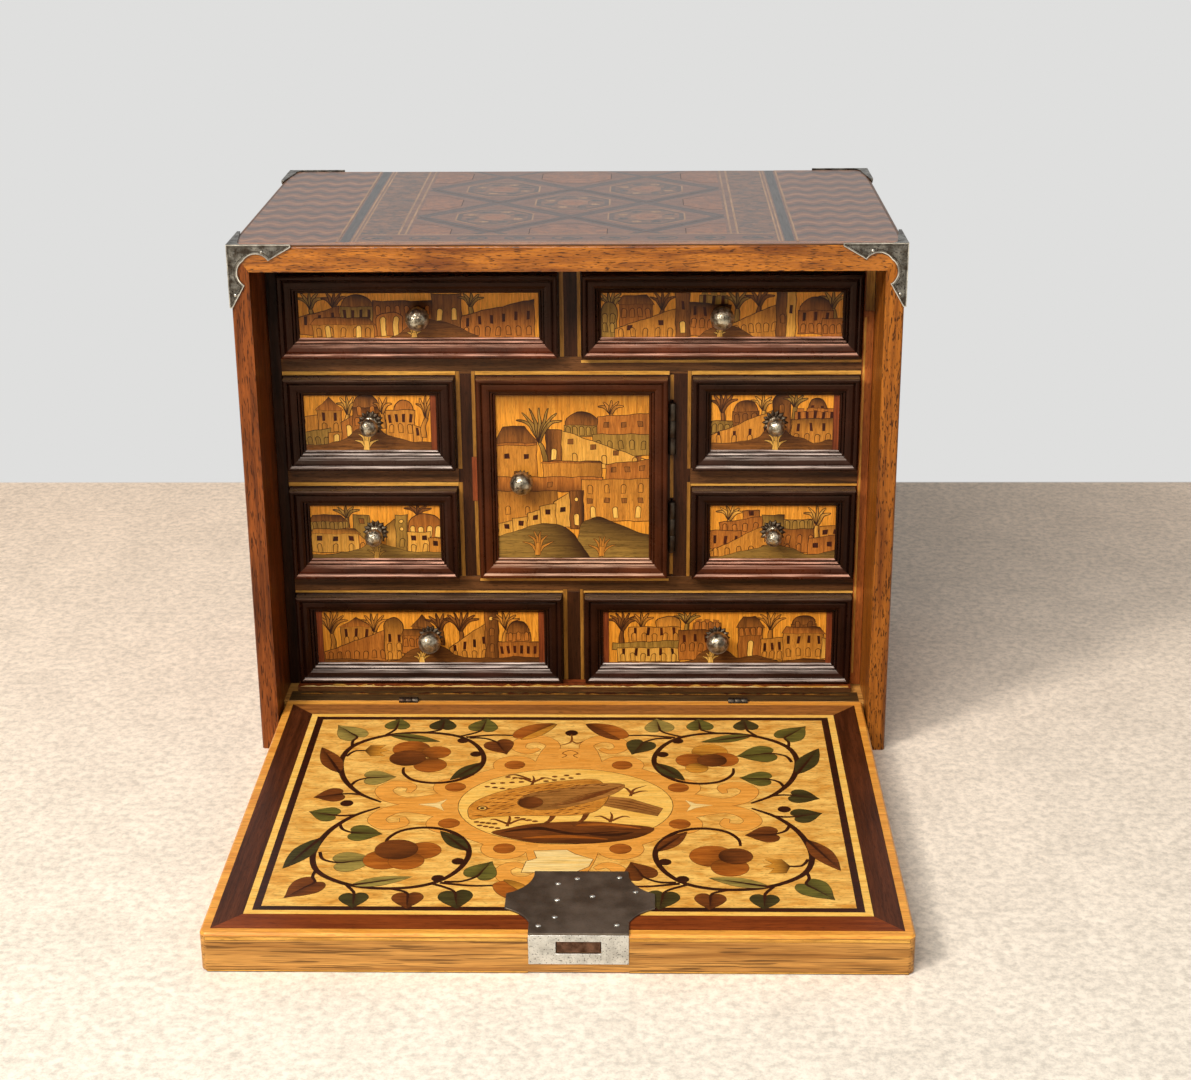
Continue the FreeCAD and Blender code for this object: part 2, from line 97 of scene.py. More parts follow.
def colour(hex_value):
    """An sRGB hex value as linear red, green, blue and alpha."""
    channels = [int(hex_value[i:i + 2], 16) / 255 for i in (1, 3, 5)]
    return [c / 12.92 if c <= 0.04045 else ((c + 0.055) / 1.055) ** 2.4 for c in channels] + [1.0]


def fill(tree, node, inputs):
    """Set each input of a node, or link it where the value is another node's output."""
    for key, value in inputs.items():
        if isinstance(value, bpy.types.NodeSocket):
            tree.links.new(value, node.inputs[key])
        else:
            node.inputs[key].default_value = value
    return node


def add(tree, kind, inputs=None, **settings):
    """Add a shader node with its settings, and fill its inputs."""
    made = tree.nodes.new("ShaderNode" + kind)
    for key, value in settings.items():
        setattr(made, key, value)
    return fill(tree, made, inputs or {})


def reckon(tree, operation, first, second):
    """The result of one operation on two values."""
    return add(tree, "Math", {0: first, 1: second}, operation=operation).outputs[0]


def mix(tree, share, first, second, **settings):
    """One colour mixed into another by a share."""
    return add(tree, "Mix", {0: share, 6: first, 7: second}, data_type="RGBA", **settings).outputs[2]


def ramp(tree, value, *ends):
    """A value taken from one range to another. A range that isn't given is 0 to 1."""
    return add(tree, "MapRange", {0: value} | dict(enumerate(ends, 1))).outputs[0]


def speckle(tree, place, size_mm, detail, **more):
    """Noise of one size in mm."""
    inputs = {"Vector": place, "Scale": 1 / (size_mm * MM), "Detail": detail}
    return add(tree, "TexNoise", inputs | more).outputs[0]


def streaks(tree, place, sizes_mm, detail, **more):
    """Noise with its own size in mm along each axis."""
    squeeze = [1 / (size * MM) for size in sizes_mm]
    mapped = add(tree, "Mapping", {"Vector": place, "Scale": squeeze}).outputs[0]
    return add(tree, "TexNoise", {"Vector": mapped, "Scale": 1.0, "Detail": detail} | more).outputs[0]


def relief(tree, strength, depth_mm, height):
    """A surface raised by a height map."""
    return add(tree, "Bump", {"Strength": strength, "Distance": depth_mm * MM, "Height": height}).outputs[0]


def new_material(name):
    """A material with its tree and its principled shader."""
    made = bpy.data.materials.new(name)
    made.use_nodes = True
    return made, made.node_tree, made.node_tree.nodes["Principled BSDF"]


print("white is", colour("#ffffff"))

# %% [markdown]
# Wood
#
# Wood shows its figure as long soft streaks, its fibres as fine lines and its pores as short dark dashes,
# all along the grain. Noise squeezed across the grain gives each of them, at sizes in millimetres. A
# marquetry cutter also scorches the edge of a piece in hot sand, so that it looks round. Each inlaid
# piece carries two numbers for this: how scorched each corner is, and a seed that gives the piece its own
# part of the board.

# %% The wood material
OWN_GRAIN = (0.37, 0.53, 0.71)
SCORCHED = "#2a1206"
SCORCH_FADE = 1.9
FIBRE_MM = (14.0, 0.7)
PORE_SHADE = 0.28


def wood(name, light, dark, along, figure=(70, 5), pores=(4, 0.5), fleck=0.4, rough=0.38, coat=0.03,
         shine=0.2):
    """A polished wood with its grain along one axis. Figure and pores are length and width in mm."""
    made, tree, shader = new_material(name)
    place = add(tree, "TexCoord").outputs["Object"]
    marks = add(tree, "Attribute", attribute_name="piece").outputs["Vector"]
    marks = add(tree, "SeparateXYZ", {0: marks}).outputs
    own = add(tree, "VectorMath", {0: OWN_GRAIN, "Scale": marks["Y"]}, operation="SCALE").outputs[0]
    place = add(tree, "VectorMath", {0: place, 1: own}, operation="ADD").outputs[0]
    layers = []
    for length, width, detail in ((*figure, 4.0), (*FIBRE_MM, 2.0), (*pores, 1.0)):
        sizes = [width] * 3
        sizes[along] = length
        layers.append(streaks(tree, place, sizes, detail, Distortion=0.5))
    skin = mix(tree, ramp(tree, layers[0], 0.34, 0.68), colour(light), colour(dark))
    skin = mix(tree, 1.0, skin, ramp(tree, layers[1], 0.3, 0.7, 0.8, 1.14), blend_type="MULTIPLY")
    dash = ramp(tree, layers[2], 0.57, 0.64, 0.0, fleck)
    skin = mix(tree, dash, skin, [c * PORE_SHADE for c in colour(dark)[:3]] + [1.0])
    skin = mix(tree, reckon(tree, "POWER", marks["X"], SCORCH_FADE), skin, colour(SCORCHED))
    gloss = ramp(tree, layers[1], 0.0, 1.0, rough + 0.1, rough - 0.06)
    normal = relief(tree, 0.25, 0.15, reckon(tree, "SUBTRACT", layers[1], dash))
    fill(tree, shader, {"Base Color": skin, "Roughness": gloss, "Normal": normal, "IOR": 1.5,
                        "Specular IOR Level": shine, "Coat Weight": coat, "Coat Roughness": 0.16})
    return made


X, Y, Z = 0, 1, 2
POST_POLISH, NEST_POLISH = (0.32, 0.05, 0.15), (0.34, 0.03, 0.12)
walnut_lipping = wood("polished walnut lipping", "#b46d22", "#703a0e", X, (40, 4), (5, 0.6), 0.9, 0.26, 0.25)
post_left = wood("polished walnut left post", "#8c4a1c", "#4e240b", Z, (60, 4), (7, 0.7), 0.8, *POST_POLISH)
post_right = wood("polished walnut right post", "#a8641f", "#6c3810", Z, (60, 4), (4, 0.8), 0.9, *POST_POLISH)
walnut_board = wood("waxed walnut board", "#cb944c", "#94622b", X, (90, 4), (32, 0.8), 0.75, 0.4)
fall_walnut = wood("polished walnut outside of the fall", "#93541f", "#5a2d0e", X,
                   (120, 7), (7, 0.7), 0.8, 0.32, 0.05)
walnut_back = wood("plain walnut back board", "#7d4c22", "#583015", X, (120, 9), (7, 0.8), 0.5, 0.55, 0.0)
rail_walnut = wood("stained walnut rail", "#6c4526", "#402814", X, (60, 4), (5, 0.6), 0.4, *NEST_POLISH)
upright_walnut = wood("stained walnut upright", "#442513", "#251208", Z, (60, 4), (5, 0.6), 0.4, *NEST_POLISH)
# Painted shade: the left lining is coloured near black, far darker than the right one.
shaded_left_lining = wood("left lining darkened with painted shade", "#382014", "#1c0f09", Z,
                   (70, 4), (5, 0.6), 0.4, 0.34, 0.02, 0.12)
lining_right = wood("red walnut right lining", "#b5672f", "#874820", Z,
                    (70, 4), (5, 0.6), 0.5, 0.34, 0.03, 0.15)
edging_box = wood("orange boxwood edging", "#eda949", "#d08530", X, (50, 5), (6, 0.5), 0.3, 0.34)
ground_maple = wood("bird's-eye maple ground", "#f4c468", "#d0913a", X, (12, 5), (3.0, 1.0), 0.34, 0.36)
sky_ash = wood("golden ash sky", "#e69c34", "#c87e22", Z, (30, 1.6), (5, 0.4), 0.4, 0.36)
drawer_pine = wood("scrubbed pine drawer lining", "#d9b27a", "#b98a4e", Y,
                   (110, 7), (8, 0.5), 0.15, 0.62, 0.0)
print(len(bpy.data.materials), "materials so far")

# %% [markdown]
# Stained mouldings
#
# The frames are fruitwood stained almost black and polished. The slopes that look up carry a painted
# highlight: a lighter colour in streaks along the grain, brightest on the lower members, which draws
# each ridge as a line.

# %% The moulding material


def moulding(name, stain, rubbed, ledge, shine=0.3, tint="#c89478"):
    """A dark polished moulding, a little lumpy. The ledge colour paints a streaked highlight on its upper
    slopes.
    """
    made, tree, shader = new_material(name)
    place = add(tree, "TexCoord").outputs["Object"]
    cloud = speckle(tree, place, 38, 5.0)
    lumps = speckle(tree, place, 6, 2.0)
    skin = mix(tree, ramp(tree, cloud, 0.38, 0.66), colour(stain), colour(rubbed))
    streak = ramp(tree, streaks(tree, place, (22, 1.0, 1.0), 3.0), 0.38, 0.6, 0.2, 1.0)
    upward = add(tree, "NewGeometry").outputs["Normal"]
    upward = add(tree, "SeparateXYZ", {0: upward}).outputs["Z"]
    # Painted highlight: the slopes that face up take the ledge colour, in streaks along the grain.
    painted_highlight = reckon(tree, "MULTIPLY", ramp(tree, upward, 0.25, 0.75), streak)
    skin = mix(tree, painted_highlight, skin, colour(ledge))
    gloss = ramp(tree, lumps, 0.3, 0.7, 0.24, 0.36)
    fill(tree, shader, {"Base Color": skin, "Roughness": gloss, "Normal": relief(tree, 0.35, 0.3, lumps),
                        "Specular IOR Level": shine, "Specular Tint": colour(tint), "Coat Weight": 0.06})
    return made


# Each finish paints a highlight in its ledge colour on upward slopes, brightest on the lower members.
black_moulding = moulding("black stained fruitwood moulding", "#150906", "#28120a", "#5c4a3e")
POLISHED = (0.5, "#e0c0ae")
black_ledge = moulding("black moulding with a painted highlight on its ledge", "#1e0f0a", "#38201a", "#d9cbc3", *POLISHED)
red_ledge = moulding("red-brown moulding with a painted highlight on its ledge", "#2e120a", "#55240f", "#dfab94", *POLISHED)
door_moulding = moulding("walnut brown door moulding", "#2a1208", "#482210", "#6a4630")
door_ledge = moulding("walnut brown moulding with a painted highlight on its ledge", "#3a1a0c", "#5a2c16", "#dcb094", *POLISHED)
print("mouldings in black and brown, with painted highlights on their ledges")

# %% [markdown]
# Iron and steel
#
# The mounts, hinges and lock plate are hand-forged. Hammer marks a few millimetres wide make the gloss
# restless, and pits and rust show brown where the metal was never rubbed bright.

# %% The metal material
RUST, PIT = "#4a2c1a", "#1d140e"


def metal(name, bright, dull, rough, dent_mm, rust=0.3, raised=0.3, pits=0.5, metallic=1.0):
    """Forged metal with soft hammer dents, scattered pits and a brown bloom."""
    made, tree, shader = new_material(name)
    place = add(tree, "TexCoord").outputs["Object"]
    cells = {"Vector": place, "Scale": 1 / (dent_mm * MM), "Smoothness": 1.0}
    dent = add(tree, "TexVoronoi", cells, feature="SMOOTH_F1").outputs["Distance"]
    cloud = speckle(tree, place, 2.4 * dent_mm, 3.0)
    grit = speckle(tree, place, 0.9, 2.0)
    skin = mix(tree, ramp(tree, cloud, 0.35, 0.65), colour(dull), colour(bright))
    skin = mix(tree, ramp(tree, cloud, 0.5, 0.34, 0.0, rust), skin, colour(RUST))
    pit = ramp(tree, grit, 0.58, 0.7, 0.0, pits)
    skin = mix(tree, pit, skin, colour(PIT))
    gloss = ramp(tree, grit, 0.0, 1.0, rough - 0.06, rough + 0.12)
    normal = relief(tree, raised, 0.3, reckon(tree, "SUBTRACT", dent, pit))
    fill(tree, shader, {"Base Color": skin, "Metallic": metallic, "Roughness": gloss, "Normal": normal})
    return made


hammered_steel = metal("hammered steel knob", "#cfc5ae", "#6f6656", 0.34, 1.3, 0.3, 1.0, 0.8)
dull_rosette = metal("dull iron rosette", "#6f6455", "#3f362c", 0.45, 1.5, 0.4, 0.5, 0.6)
forged_mount = metal("forged iron mount", "#8d8a83", "#47443e", 0.38, 2.0, 0.2, 1.0, 0.8)
black_iron = metal("blackened iron plate", "#857a6e", "#675d52", 0.5, 6.0, 0.1, 0.3, 0.2)
bright_steel = metal("filed steel edge plate", "#e0e0db", "#c2c2bd", 0.38, 2.6, 0.05, 0.4, 0.8)
rusty_bolt = metal("rusty lock bolt", "#7a5a48", "#463227", 0.45, 2.0, 0.5, 0.3)
hinge_iron = metal("dark iron hinge", "#574f46", "#332c26", 0.42, 2.4, 0.3, 0.35)
# Partly painted highlight: this bright metal stands for the filed edges and for the light they catch.
bright_rim_and_highlight = metal("filed bright rim with painted highlight", "#e2ddd0", "#8f8b82", 0.3, 3.0, 0.1, 0.4, 0.4, 0.5)
nail_steel = metal("bright nail head", "#d6d3cb", "#a19d94", 0.26, 1.5, 0.05, 0.2, 0.2)
print(len(bpy.data.materials), "materials with the metals")

# %% [markdown]
# Dressing the CAD pieces
#
# Each CAD node keeps its mesh and gets a finish. Real arrises are never sharp: hands and cloths round
# them, and the light catches there. A weld and a narrow bevel as modifiers give that and leave the mesh
# as it is.

# %% Finishes on the CAD nodes
WELD_MM, SHARP_DEG = 0.002, 25


def dress(name, finish, arris_mm=0.0, other=None, where=None):
    """Give a CAD node its finish and a soft arris, and another finish to faces picked by their middles."""
    piece = nodes[name]
    piece.data.materials.clear()
    piece.data.materials.append(finish)
    if other:
        piece.data.materials.append(other)
    for face in piece.data.polygons:
        face.material_index = 1 if other and where(face.center / MM) else 0
    if arris_mm:
        weld = piece.modifiers.new("weld", "WELD")
        weld.merge_threshold = WELD_MM * MM
        bevel = piece.modifiers.new("arris", "BEVEL")
        bevel.width = arris_mm * MM
        bevel.segments = 2
        bevel.limit_method = "ANGLE"
        bevel.angle_limit = math.radians(SHARP_DEG)
        bevel.harden_normals = True


DRAWERS = [row + "_" + side for row in ("top", "upper", "lower", "bottom") for side in ("left", "right")]
RED_LEDGES = ("top_left", "top_right", "lower_left", "lower_right")
FRONT_BOARD_Y, BACK_EDGE_Y = -60.0, 100.0
TOP_FACE_Z, UNDERSIDE_Z = 311.5, 1.0
dress("case_top", walnut_lipping, 1.2, rail_walnut, lambda middle: middle.z > TOP_FACE_Z)
dress("case_side_left", post_left, 1.0)
dress("case_side_right", post_right, 1.0)
dress("case_bottom", walnut_board, 0.6, walnut_back, lambda middle: middle.y > BACK_EDGE_Y)
dress("case_back", walnut_back, 0.3)
# The left half of the linings carries the painted shade.
dress("nest_linings", shaded_left_lining, 0.5, lining_right, lambda middle: middle.x > 0)
dress("nest_shelves", rail_walnut, 0.3)
dress("nest_uprights", upright_walnut, 0.3)
dress("fall_board", walnut_board, 1.2, fall_walnut, lambda middle: middle.z < UNDERSIDE_Z)
dress("fall_edging", edging_box)
dress("fall_border", rail_walnut)
dress("fall_marquetry", ground_maple)
dress("door_board", upright_walnut, 0.3)
panel_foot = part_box("door_marquetry")[0].z / MM
# The lower member gets the finish with the brighter painted highlight.
dress("door_moulding", door_moulding, 0.35, door_ledge, lambda middle: middle.z < panel_foot)
dress("door_marquetry", sky_ash)
dress("door_knob", hammered_steel)
dress("lock_plate", black_iron, 0.3)
dress("lock_edge_plate", bright_steel, 0.3)
dress("lock_bolt", rusty_bolt, 0.3)
dress("corner_mounts", forged_mount, 0.3)
for name in nodes:
    if "hinge" in name:
        dress(name, hinge_iron, 0.2)
for name in DRAWERS:
    dress(f"drawer_{name}_box", drawer_pine, 0.3, upright_walnut, lambda middle: middle.y < FRONT_BOARD_Y)
    panel_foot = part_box(f"drawer_{name}_marquetry")[0].z / MM
    # The lower member gets the finish with the brighter painted highlight.
    ledge = red_ledge if name in RED_LEDGES else black_ledge
    dress(f"drawer_{name}_moulding", black_moulding, 0.35, ledge, lambda middle: middle.z < panel_foot)
    dress(f"drawer_{name}_marquetry", sky_ash)
    dress(f"drawer_{name}_knob", hammered_steel)
print(len(nodes), "CAD nodes dressed")

# %% [markdown]
# Drawing tools for marquetry
#
# A marquetry picture is a jigsaw of thin veneers. Each piece here is a flat outline in millimetres, made
# into a thin closed slab, and a later piece lies a hair higher than those it overlaps, so it covers them
# as paint would. A slightly larger dark slab under a piece is the line of glue and scorch that the saw
# leaves. Pictures could be drawn in a shader, but real pieces keep crisp outlines from any distance and
# can each have their own grain.

# %% Outlines in the plane


def arc(cx, cy, rx, ry, start=0, end=360, steps=14):
    """Points along an ellipse, with angles in degrees."""
    count = steps + (abs(end - start) < 360)
    angles = [math.radians(start + (end - start) * i / steps) for i in range(count)]
    return [(cx + rx * math.cos(a), cy + ry * math.sin(a)) for a in angles]


def oblong(u0, v0, u1, v1):
    """A rectangle from two corners."""
    return [(u0, v0), (u1, v0), (u1, v1), (u0, v1)]


def through(points, steps=5, closed=False):
    """A smooth curve through given points."""
    count = len(points)
    curve = []
    for i in range(count if closed else count - 1):
        near = range(i - 1, i + 3)
        near = [points[k % count] if closed else points[min(max(k, 0), count - 1)] for k in near]
        before, here, there, after = [Vector(p) for p in near]
        for s in range(steps):
            t = s / steps
            bend = 2 * here + (there - before) * t + (2 * before - 5 * here + 4 * there - after) * t * t
            bend += (3 * here - before - 3 * there + after) * t * t * t
            curve.append(tuple(bend / 2))
    return curve if closed else curve + [tuple(points[-1])]


def ribbon(path, widths):
    """The outline of a strip along a path, with its widths from start to end."""
    left, right = [], []
    last = len(path) - 1
    for i, here in enumerate(path):
        ahead = Vector(path[min(i + 1, last)]) - Vector(path[max(i - 1, 0)])
        side = Vector((-ahead.y, ahead.x)).normalized()
        at = i / last * (len(widths) - 1)
        k = min(int(at), len(widths) - 2)
        half = (widths[k] + (widths[k + 1] - widths[k]) * (at - k)) / 2
        left.append(tuple(Vector(here) + side * half))
        right.append(tuple(Vector(here) - side * half))
    return left + right[::-1]


def area(points):
    """Signed area of an outline, positive when it runs anticlockwise."""
    return sum(a[0] * b[1] - b[0] * a[1] for a, b in zip(points, points[1:] + points[:1])) / 2


def grow(points, by):
    """The outline moved outwards."""
    if area(points) < 0:
        points = points[::-1]
    grown = []
    for i, here in enumerate(points):
        back = (Vector(here) - Vector(points[i - 1])).normalized()
        ahead = (Vector(points[(i + 1) % len(points)]) - Vector(here)).normalized()
        out = Vector((back.y + ahead.y, -back.x - ahead.x))
        out = out.normalized() if out.length > 0.01 else Vector((back.y, -back.x))
        grown.append(tuple(Vector(here) + out * by))
    return grown


def clip(points, box):
    """The part of an outline inside a box of low u, low v, high u, high v."""
    for axis, limit, sign in ((0, box[0], 1), (1, box[1], 1), (0, box[2], -1), (1, box[3], -1)):
        kept = []
        for here, there in zip(points, points[1:] + points[:1]):
            a = (here[axis] - limit) * sign
            b = (there[axis] - limit) * sign
            if a >= 0:
                kept.append(here)
            if a * b < 0:
                kept.append(tuple(Vector(here).lerp(Vector(there), a / (a - b))))
        points = kept
    return [p for p, q in zip(points, points[1:] + points[:1]) if (Vector(p) - Vector(q)).length > 0.01]


# %% Veneer pieces and sheets
SLAB_SINK_MM = 0.25
FIRST_LAYER_MM = 0.04
NEXT_LAYER_MM = 0.003
seeds = random.Random(11)


def lay(sheet, points, veneer, burn=0.0, toward=90, line=0.25):
    """Lay a piece on a sheet, scorched towards an angle, with a dark line round it."""
    if line:
        sheet.append((grow(points, line), VENEERS["bog oak"], 0.0, 0))
    sheet.append((points, VENEERS[veneer], burn, toward))


def plain(sheet, points, veneer):
    """Lay a piece with no scorch and no line round it."""
    lay(sheet, points, veneer, line=0.0)


def stroke(sheet, path, widths, veneer, burn=0.0, toward=90, line=0.0):
    """Lay a curved strip through given points, with its widths from start to end."""
    lay(sheet, ribbon(through(path), widths), veneer, burn, toward, line)


def blob(sheet, corners, veneer, burn, toward, line=0.25):
    """Lay a piece with a smooth outline through given corners."""
    lay(sheet, through(corners, 4, True), veneer, burn, toward, line)


def mitred(sheet, outer, inner, veneers):
    """Lay a strip along each side of an outline, in to another outline, with mitred ends."""
    for i, veneer in enumerate(veneers):
        j = (i + 1) % len(outer)
        plain(sheet, [outer[i], outer[j], inner[j], inner[i]], veneer)


def new_piece(name, verts, faces, finishes, body):
    """An object with its finishes in material slots, on its body."""
    mesh = bpy.data.meshes.new(name)
    mesh.from_pydata(verts, [], faces)
    for finish in finishes:
        mesh.materials.append(finish)
    piece = bpy.data.objects.new(name, mesh)
    bpy.context.scene.collection.objects.link(piece)
    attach(piece, body)
    return piece


def inlay(name, sheet, place, box, body):
    """Make one object of thin closed slabs from a sheet of veneer pieces."""
    verts, faces, finish, marks, used, laid = [], [], [], [], [], []
    for points, veneer, burn, toward in sheet:
        points = clip(list(points), box)
        if len(points) < 3:
            continue
        if area(points) < 0:
            points.reverse()
        if veneer not in used:
            used.append(veneer)
        count, first, seed = len(points), len(verts), seeds.random()
        way = Vector((math.cos(math.radians(toward)), math.sin(math.radians(toward))))
        run = [way.dot(Vector(p)) for p in points]
        span = max(max(run) - min(run), 0.01)
        low_u, high_u = min(u for u, v in points), max(u for u, v in points)
        low_v, high_v = min(v for u, v in points), max(v for u, v in points)
        layer = 0
        for left, right, bottom, ceiling, other in laid:
            if left < high_u and right > low_u and bottom < high_v and ceiling > low_v:
                layer = max(layer, other + 1)
        laid.append((low_u, high_u, low_v, high_v, layer))
        for level in (-SLAB_SINK_MM, FIRST_LAYER_MM + layer * NEXT_LAYER_MM):
            verts += [place @ Vector((u, v, level)) for u, v in points]
            marks += [(burn * (r - min(run)) / span, seed, 0.0) for r in run]
        faces.append([first + count + i for i in range(count)])
        faces.append([first + count - 1 - i for i in range(count)])
        for i in range(count):
            j = (i + 1) % count
            faces.append([first + i, first + j, first + count + j, first + count + i])
        finish += [used.index(veneer)] * (count + 2)
    mesh = new_piece(name, verts, faces, used, body).data
    mesh.polygons.foreach_set("material_index", finish)
    piece_marks = mesh.attributes.new("piece", "FLOAT_VECTOR", "POINT").data
    piece_marks.foreach_set("vector", [c for mark in marks for c in mark])
    print(name, len(laid), "slabs in", max(mark[-1] for mark in laid) + 1, "layers,", len(faces), "faces")


def upright(x_mm, y_mm, z_mm):
    """A place for a sheet that faces the front: u to the right, v up."""
    move = Matrix.Translation(Vector((x_mm, y_mm, z_mm)) * MM)
    return move @ Matrix.Rotation(math.pi / 2, 4, "X") @ Matrix.Scale(MM, 4)


def lying(x_mm, y_mm, z_mm):
    """A place for a sheet that faces up: u to the right, v to the rear."""
    return Matrix.Translation(Vector((x_mm, y_mm, z_mm)) * MM) @ Matrix.Scale(MM, 4)


# %% [markdown]
# The cutter's stock of veneers
#
# Native woods give most of the colours: maple and box for light, pear and cherry for orange and red,
# walnut for brown, bog oak for lines. Green is maple stained with verdigris. Veneers are polished flush
# with wax and shellac.

# %% Veneers
LINE_GRAIN, STRING_GRAIN = ((20, 2), (3, 0.4), 0.2), ((30, 2), (5, 0.4), 0.4)
PEAR_GRAIN, ASH_GRAIN = ((24, 1.8), (4, 0.4), 0.4), ((26, 2), (4, 0.4), 0.4)
VENEERS = {
    "bog oak": wood("bog oak line", "#3a1a0c", "#210e06", X, *LINE_GRAIN),
    "slot": wood("stained window veneer", "#451808", "#2a0e05", Z, *LINE_GRAIN),
    "glow": wood("pale box veneer", "#ecbc5e", "#d9a244", Z, (22, 1.8), (4, 0.4), 0.3),
    "cream": wood("pale maple veneer", "#dfa548", "#c78c34", Z, (22, 1.8), (4, 0.4), 0.35),
    "amber": wood("pearwood veneer", "#d08b33", "#b07026", Z, *PEAR_GRAIN),
    "russet": wood("cherry veneer", "#bd742b", "#96561e", Z, *PEAR_GRAIN),
    "umber": wood("walnut veneer", "#945a22", "#673c16", Z, *ASH_GRAIN),
    "olive": wood("olive ash veneer", "#ae8438", "#866327", Z, *ASH_GRAIN),
    "earth": wood("walnut mound veneer", "#8d5722", "#613814", X, (26, 1.4), (4, 0.4), 0.5),
    "moss": wood("olive ash mound veneer", "#a07c38", "#7a5c28", X, (30, 1.6), (4, 0.4), 0.5),
    "string": wood("boxwood stringing", "#e0aa50", "#bd8434", X, *STRING_GRAIN),
    "string up": wood("upright boxwood stringing", "#d9a24a", "#b07730", Z, *STRING_GRAIN),
    "red": wood("plum repair strip", "#8f4520", "#642b12", Z, (30, 2), (4, 0.4), 0.3),
    "string dull": wood("browned boxwood stringing", "#a8762f", "#7d521d", Z, *STRING_GRAIN),
    "grime": wood("grimy sill wood", "#5a4324", "#382714", X, (40, 2), (6, 0.6), 0.5),
    "sky": sky_ash,
}
print(len(VENEERS), "veneers")

# %% [markdown]
# Little townscapes
#
# Cabinets of this kind show imagined towns: houses, towers and domes behind a mound, with bare trees.
# They are cut from a few kinds of shape, so a few functions draw them: a building with its roof and rows
# of openings, a tree, a mound and a shoot of leaves. Each picture is then a short list of these, back to
# front, in millimetres from the lower left corner of the panel. An entry that names no function is a
# building.

# %% Parts of a townscape
WALL_SAW_MM, ROOF_SAW_MM, OPENING_SAW_MM = 0.55, 0.45, 0.42
EAVES_MM = 1.2
OPENINGS = {"slot": (1.8, 5.2, "slot"), "square": (3.2, 3.2, "slot"), "arch": (2.8, 7.0, "glow"),
            "gate": (2.9, 11.5, "glow"), "niche": (2.5, 5.2, None), "hatch": (2.8, 2.8, "umber"),
            "stud": (2.3, 2.3, "glow")}


def opening(sheet, kind, x, y, wall):
    """A window or a door, standing on y with its middle at x."""
    w, h, veneer = OPENINGS[kind]
    if kind in ("arch", "gate", "niche"):
        shape = [(x - w / 2, y), (x + w / 2, y)] + arc(x, y + h - w / 2, w / 2, w / 2, 0, 180, 6)
    elif kind == "stud":
        shape = arc(x, y + h / 2, w / 2, h / 2, steps=8)
    else:
        shape = oblong(x - w / 2, y, x + w / 2, y + h)
    lay(sheet, shape, veneer or wall, 0.0 if veneer else 0.5, 0, 0.0 if veneer == "slot" else OPENING_SAW_MM)


ROOF_WOODS = {"amber": "russet", "cream": "amber", "olive": "umber"}


def building(sheet, x, y, w, h, veneer, roof="flat", rise=0, rows=(), burn=0.8, toward=80):
    """A wall with its roof and its rows of openings."""
    right, top, mid = x + w, y + h, x + w / 2
    if roof == "bow":
        wall = [(x, y), (right, y)] + arc(mid, top, w / 2, rise, 0, 180, 10)
    elif roof == "lean":
        wall = [(x, y), (right, y), (right, top + rise), (x, top)]
    else:
        wall = oblong(x, y, right, top)
    lay(sheet, wall, veneer, burn, toward, WALL_SAW_MM)
    eaves = [(x - EAVES_MM, top), (right + EAVES_MM, top)]
    covers = {
        "gable": eaves + [(mid, top + rise)],
        "cap": eaves + [(right - rise * 0.7, top + rise), (x + rise * 0.4, top + rise)],
        "dome": arc(mid, top, w / 2 - 0.6, rise, 0, 180, 12),
    }
    if roof in covers:
        lay(sheet, covers[roof], ROOF_WOODS.get(veneer, "umber"), 1.0, 80, ROOF_SAW_MM)
    if roof == "crown":
        teeth = max(int(w / 5), 2)
        for i in range(teeth):
            left = x + w * (i + 0.2) / teeth
            lay(sheet, oblong(left, top, left + w * 0.6 / teeth, top + rise), veneer, 0.5, 90)
    for kind, count, share in rows:
        for i in range(count):
            along = (i + 0.5) / count
            slope = rise * along if roof == "lean" else 0
            opening(sheet, kind, x + w * along, y + (h + slope) * share, veneer)


def tree(sheet, x, y, height, spread, veneer, branches=5, lean=0):
    """A trunk that forks into long blades of boughs, which rise and bend outwards."""
    fork = (x + lean, y + height * 0.45)
    trunk = through([(x, y), (x + lean * 0.2, y + height * 0.25), fork])
    for i in range(branches):
        turn = math.radians(-66 + 132 * i / (branches - 1))
        tip = (fork[0] + spread * math.sin(turn), fork[1] + height * (0.22 + 0.33 * math.cos(turn)))
        knee = (fork[0] + spread * 0.45 * math.sin(turn * 0.8), fork[1] + height * 0.28)
        stroke(sheet, [fork, knee, tip], [0.9, 1.6, 0.2], veneer, 0.9, 180 + 90 * (i % 2), 0.45)
    lay(sheet, ribbon(trunk, [3.4, 2.4, 1.8]), veneer, 0.9, 0, 0.45)


def mound(sheet, top, veneer, burn=0.85, toward=80):
    """A hill with a smooth top line, down to the bottom of the panel."""
    crest = through(top)
    lay(sheet, crest + [(crest[-1][0], -1), (crest[0][0], -1)], veneer, burn, toward)


def shoot(sheet, x, y, size, veneer="glow"):
    """A stub with thin leaves that rise and curl to both sides."""
    for way in (-1, 1):
        for reach, lift in ((0.62, 0.55), (0.4, 0.85), (0.14, 1.0)):
            tip = (x + way * size * reach, y + size * lift)
            bend = (x + way * size * reach * 0.35, y + size * lift * 0.7)
            stroke(sheet, [(x, y), bend, tip], [1.8, 1.3, 0.2], veneer, 0.5, 90, 0.28)
    stub = [(x - 1.7, y), (x + 1.7, y), (x + 1.1, y + size * 0.5), (x - 1.1, y + size * 0.5)]
    lay(sheet, stub, veneer, 0.3, 0)


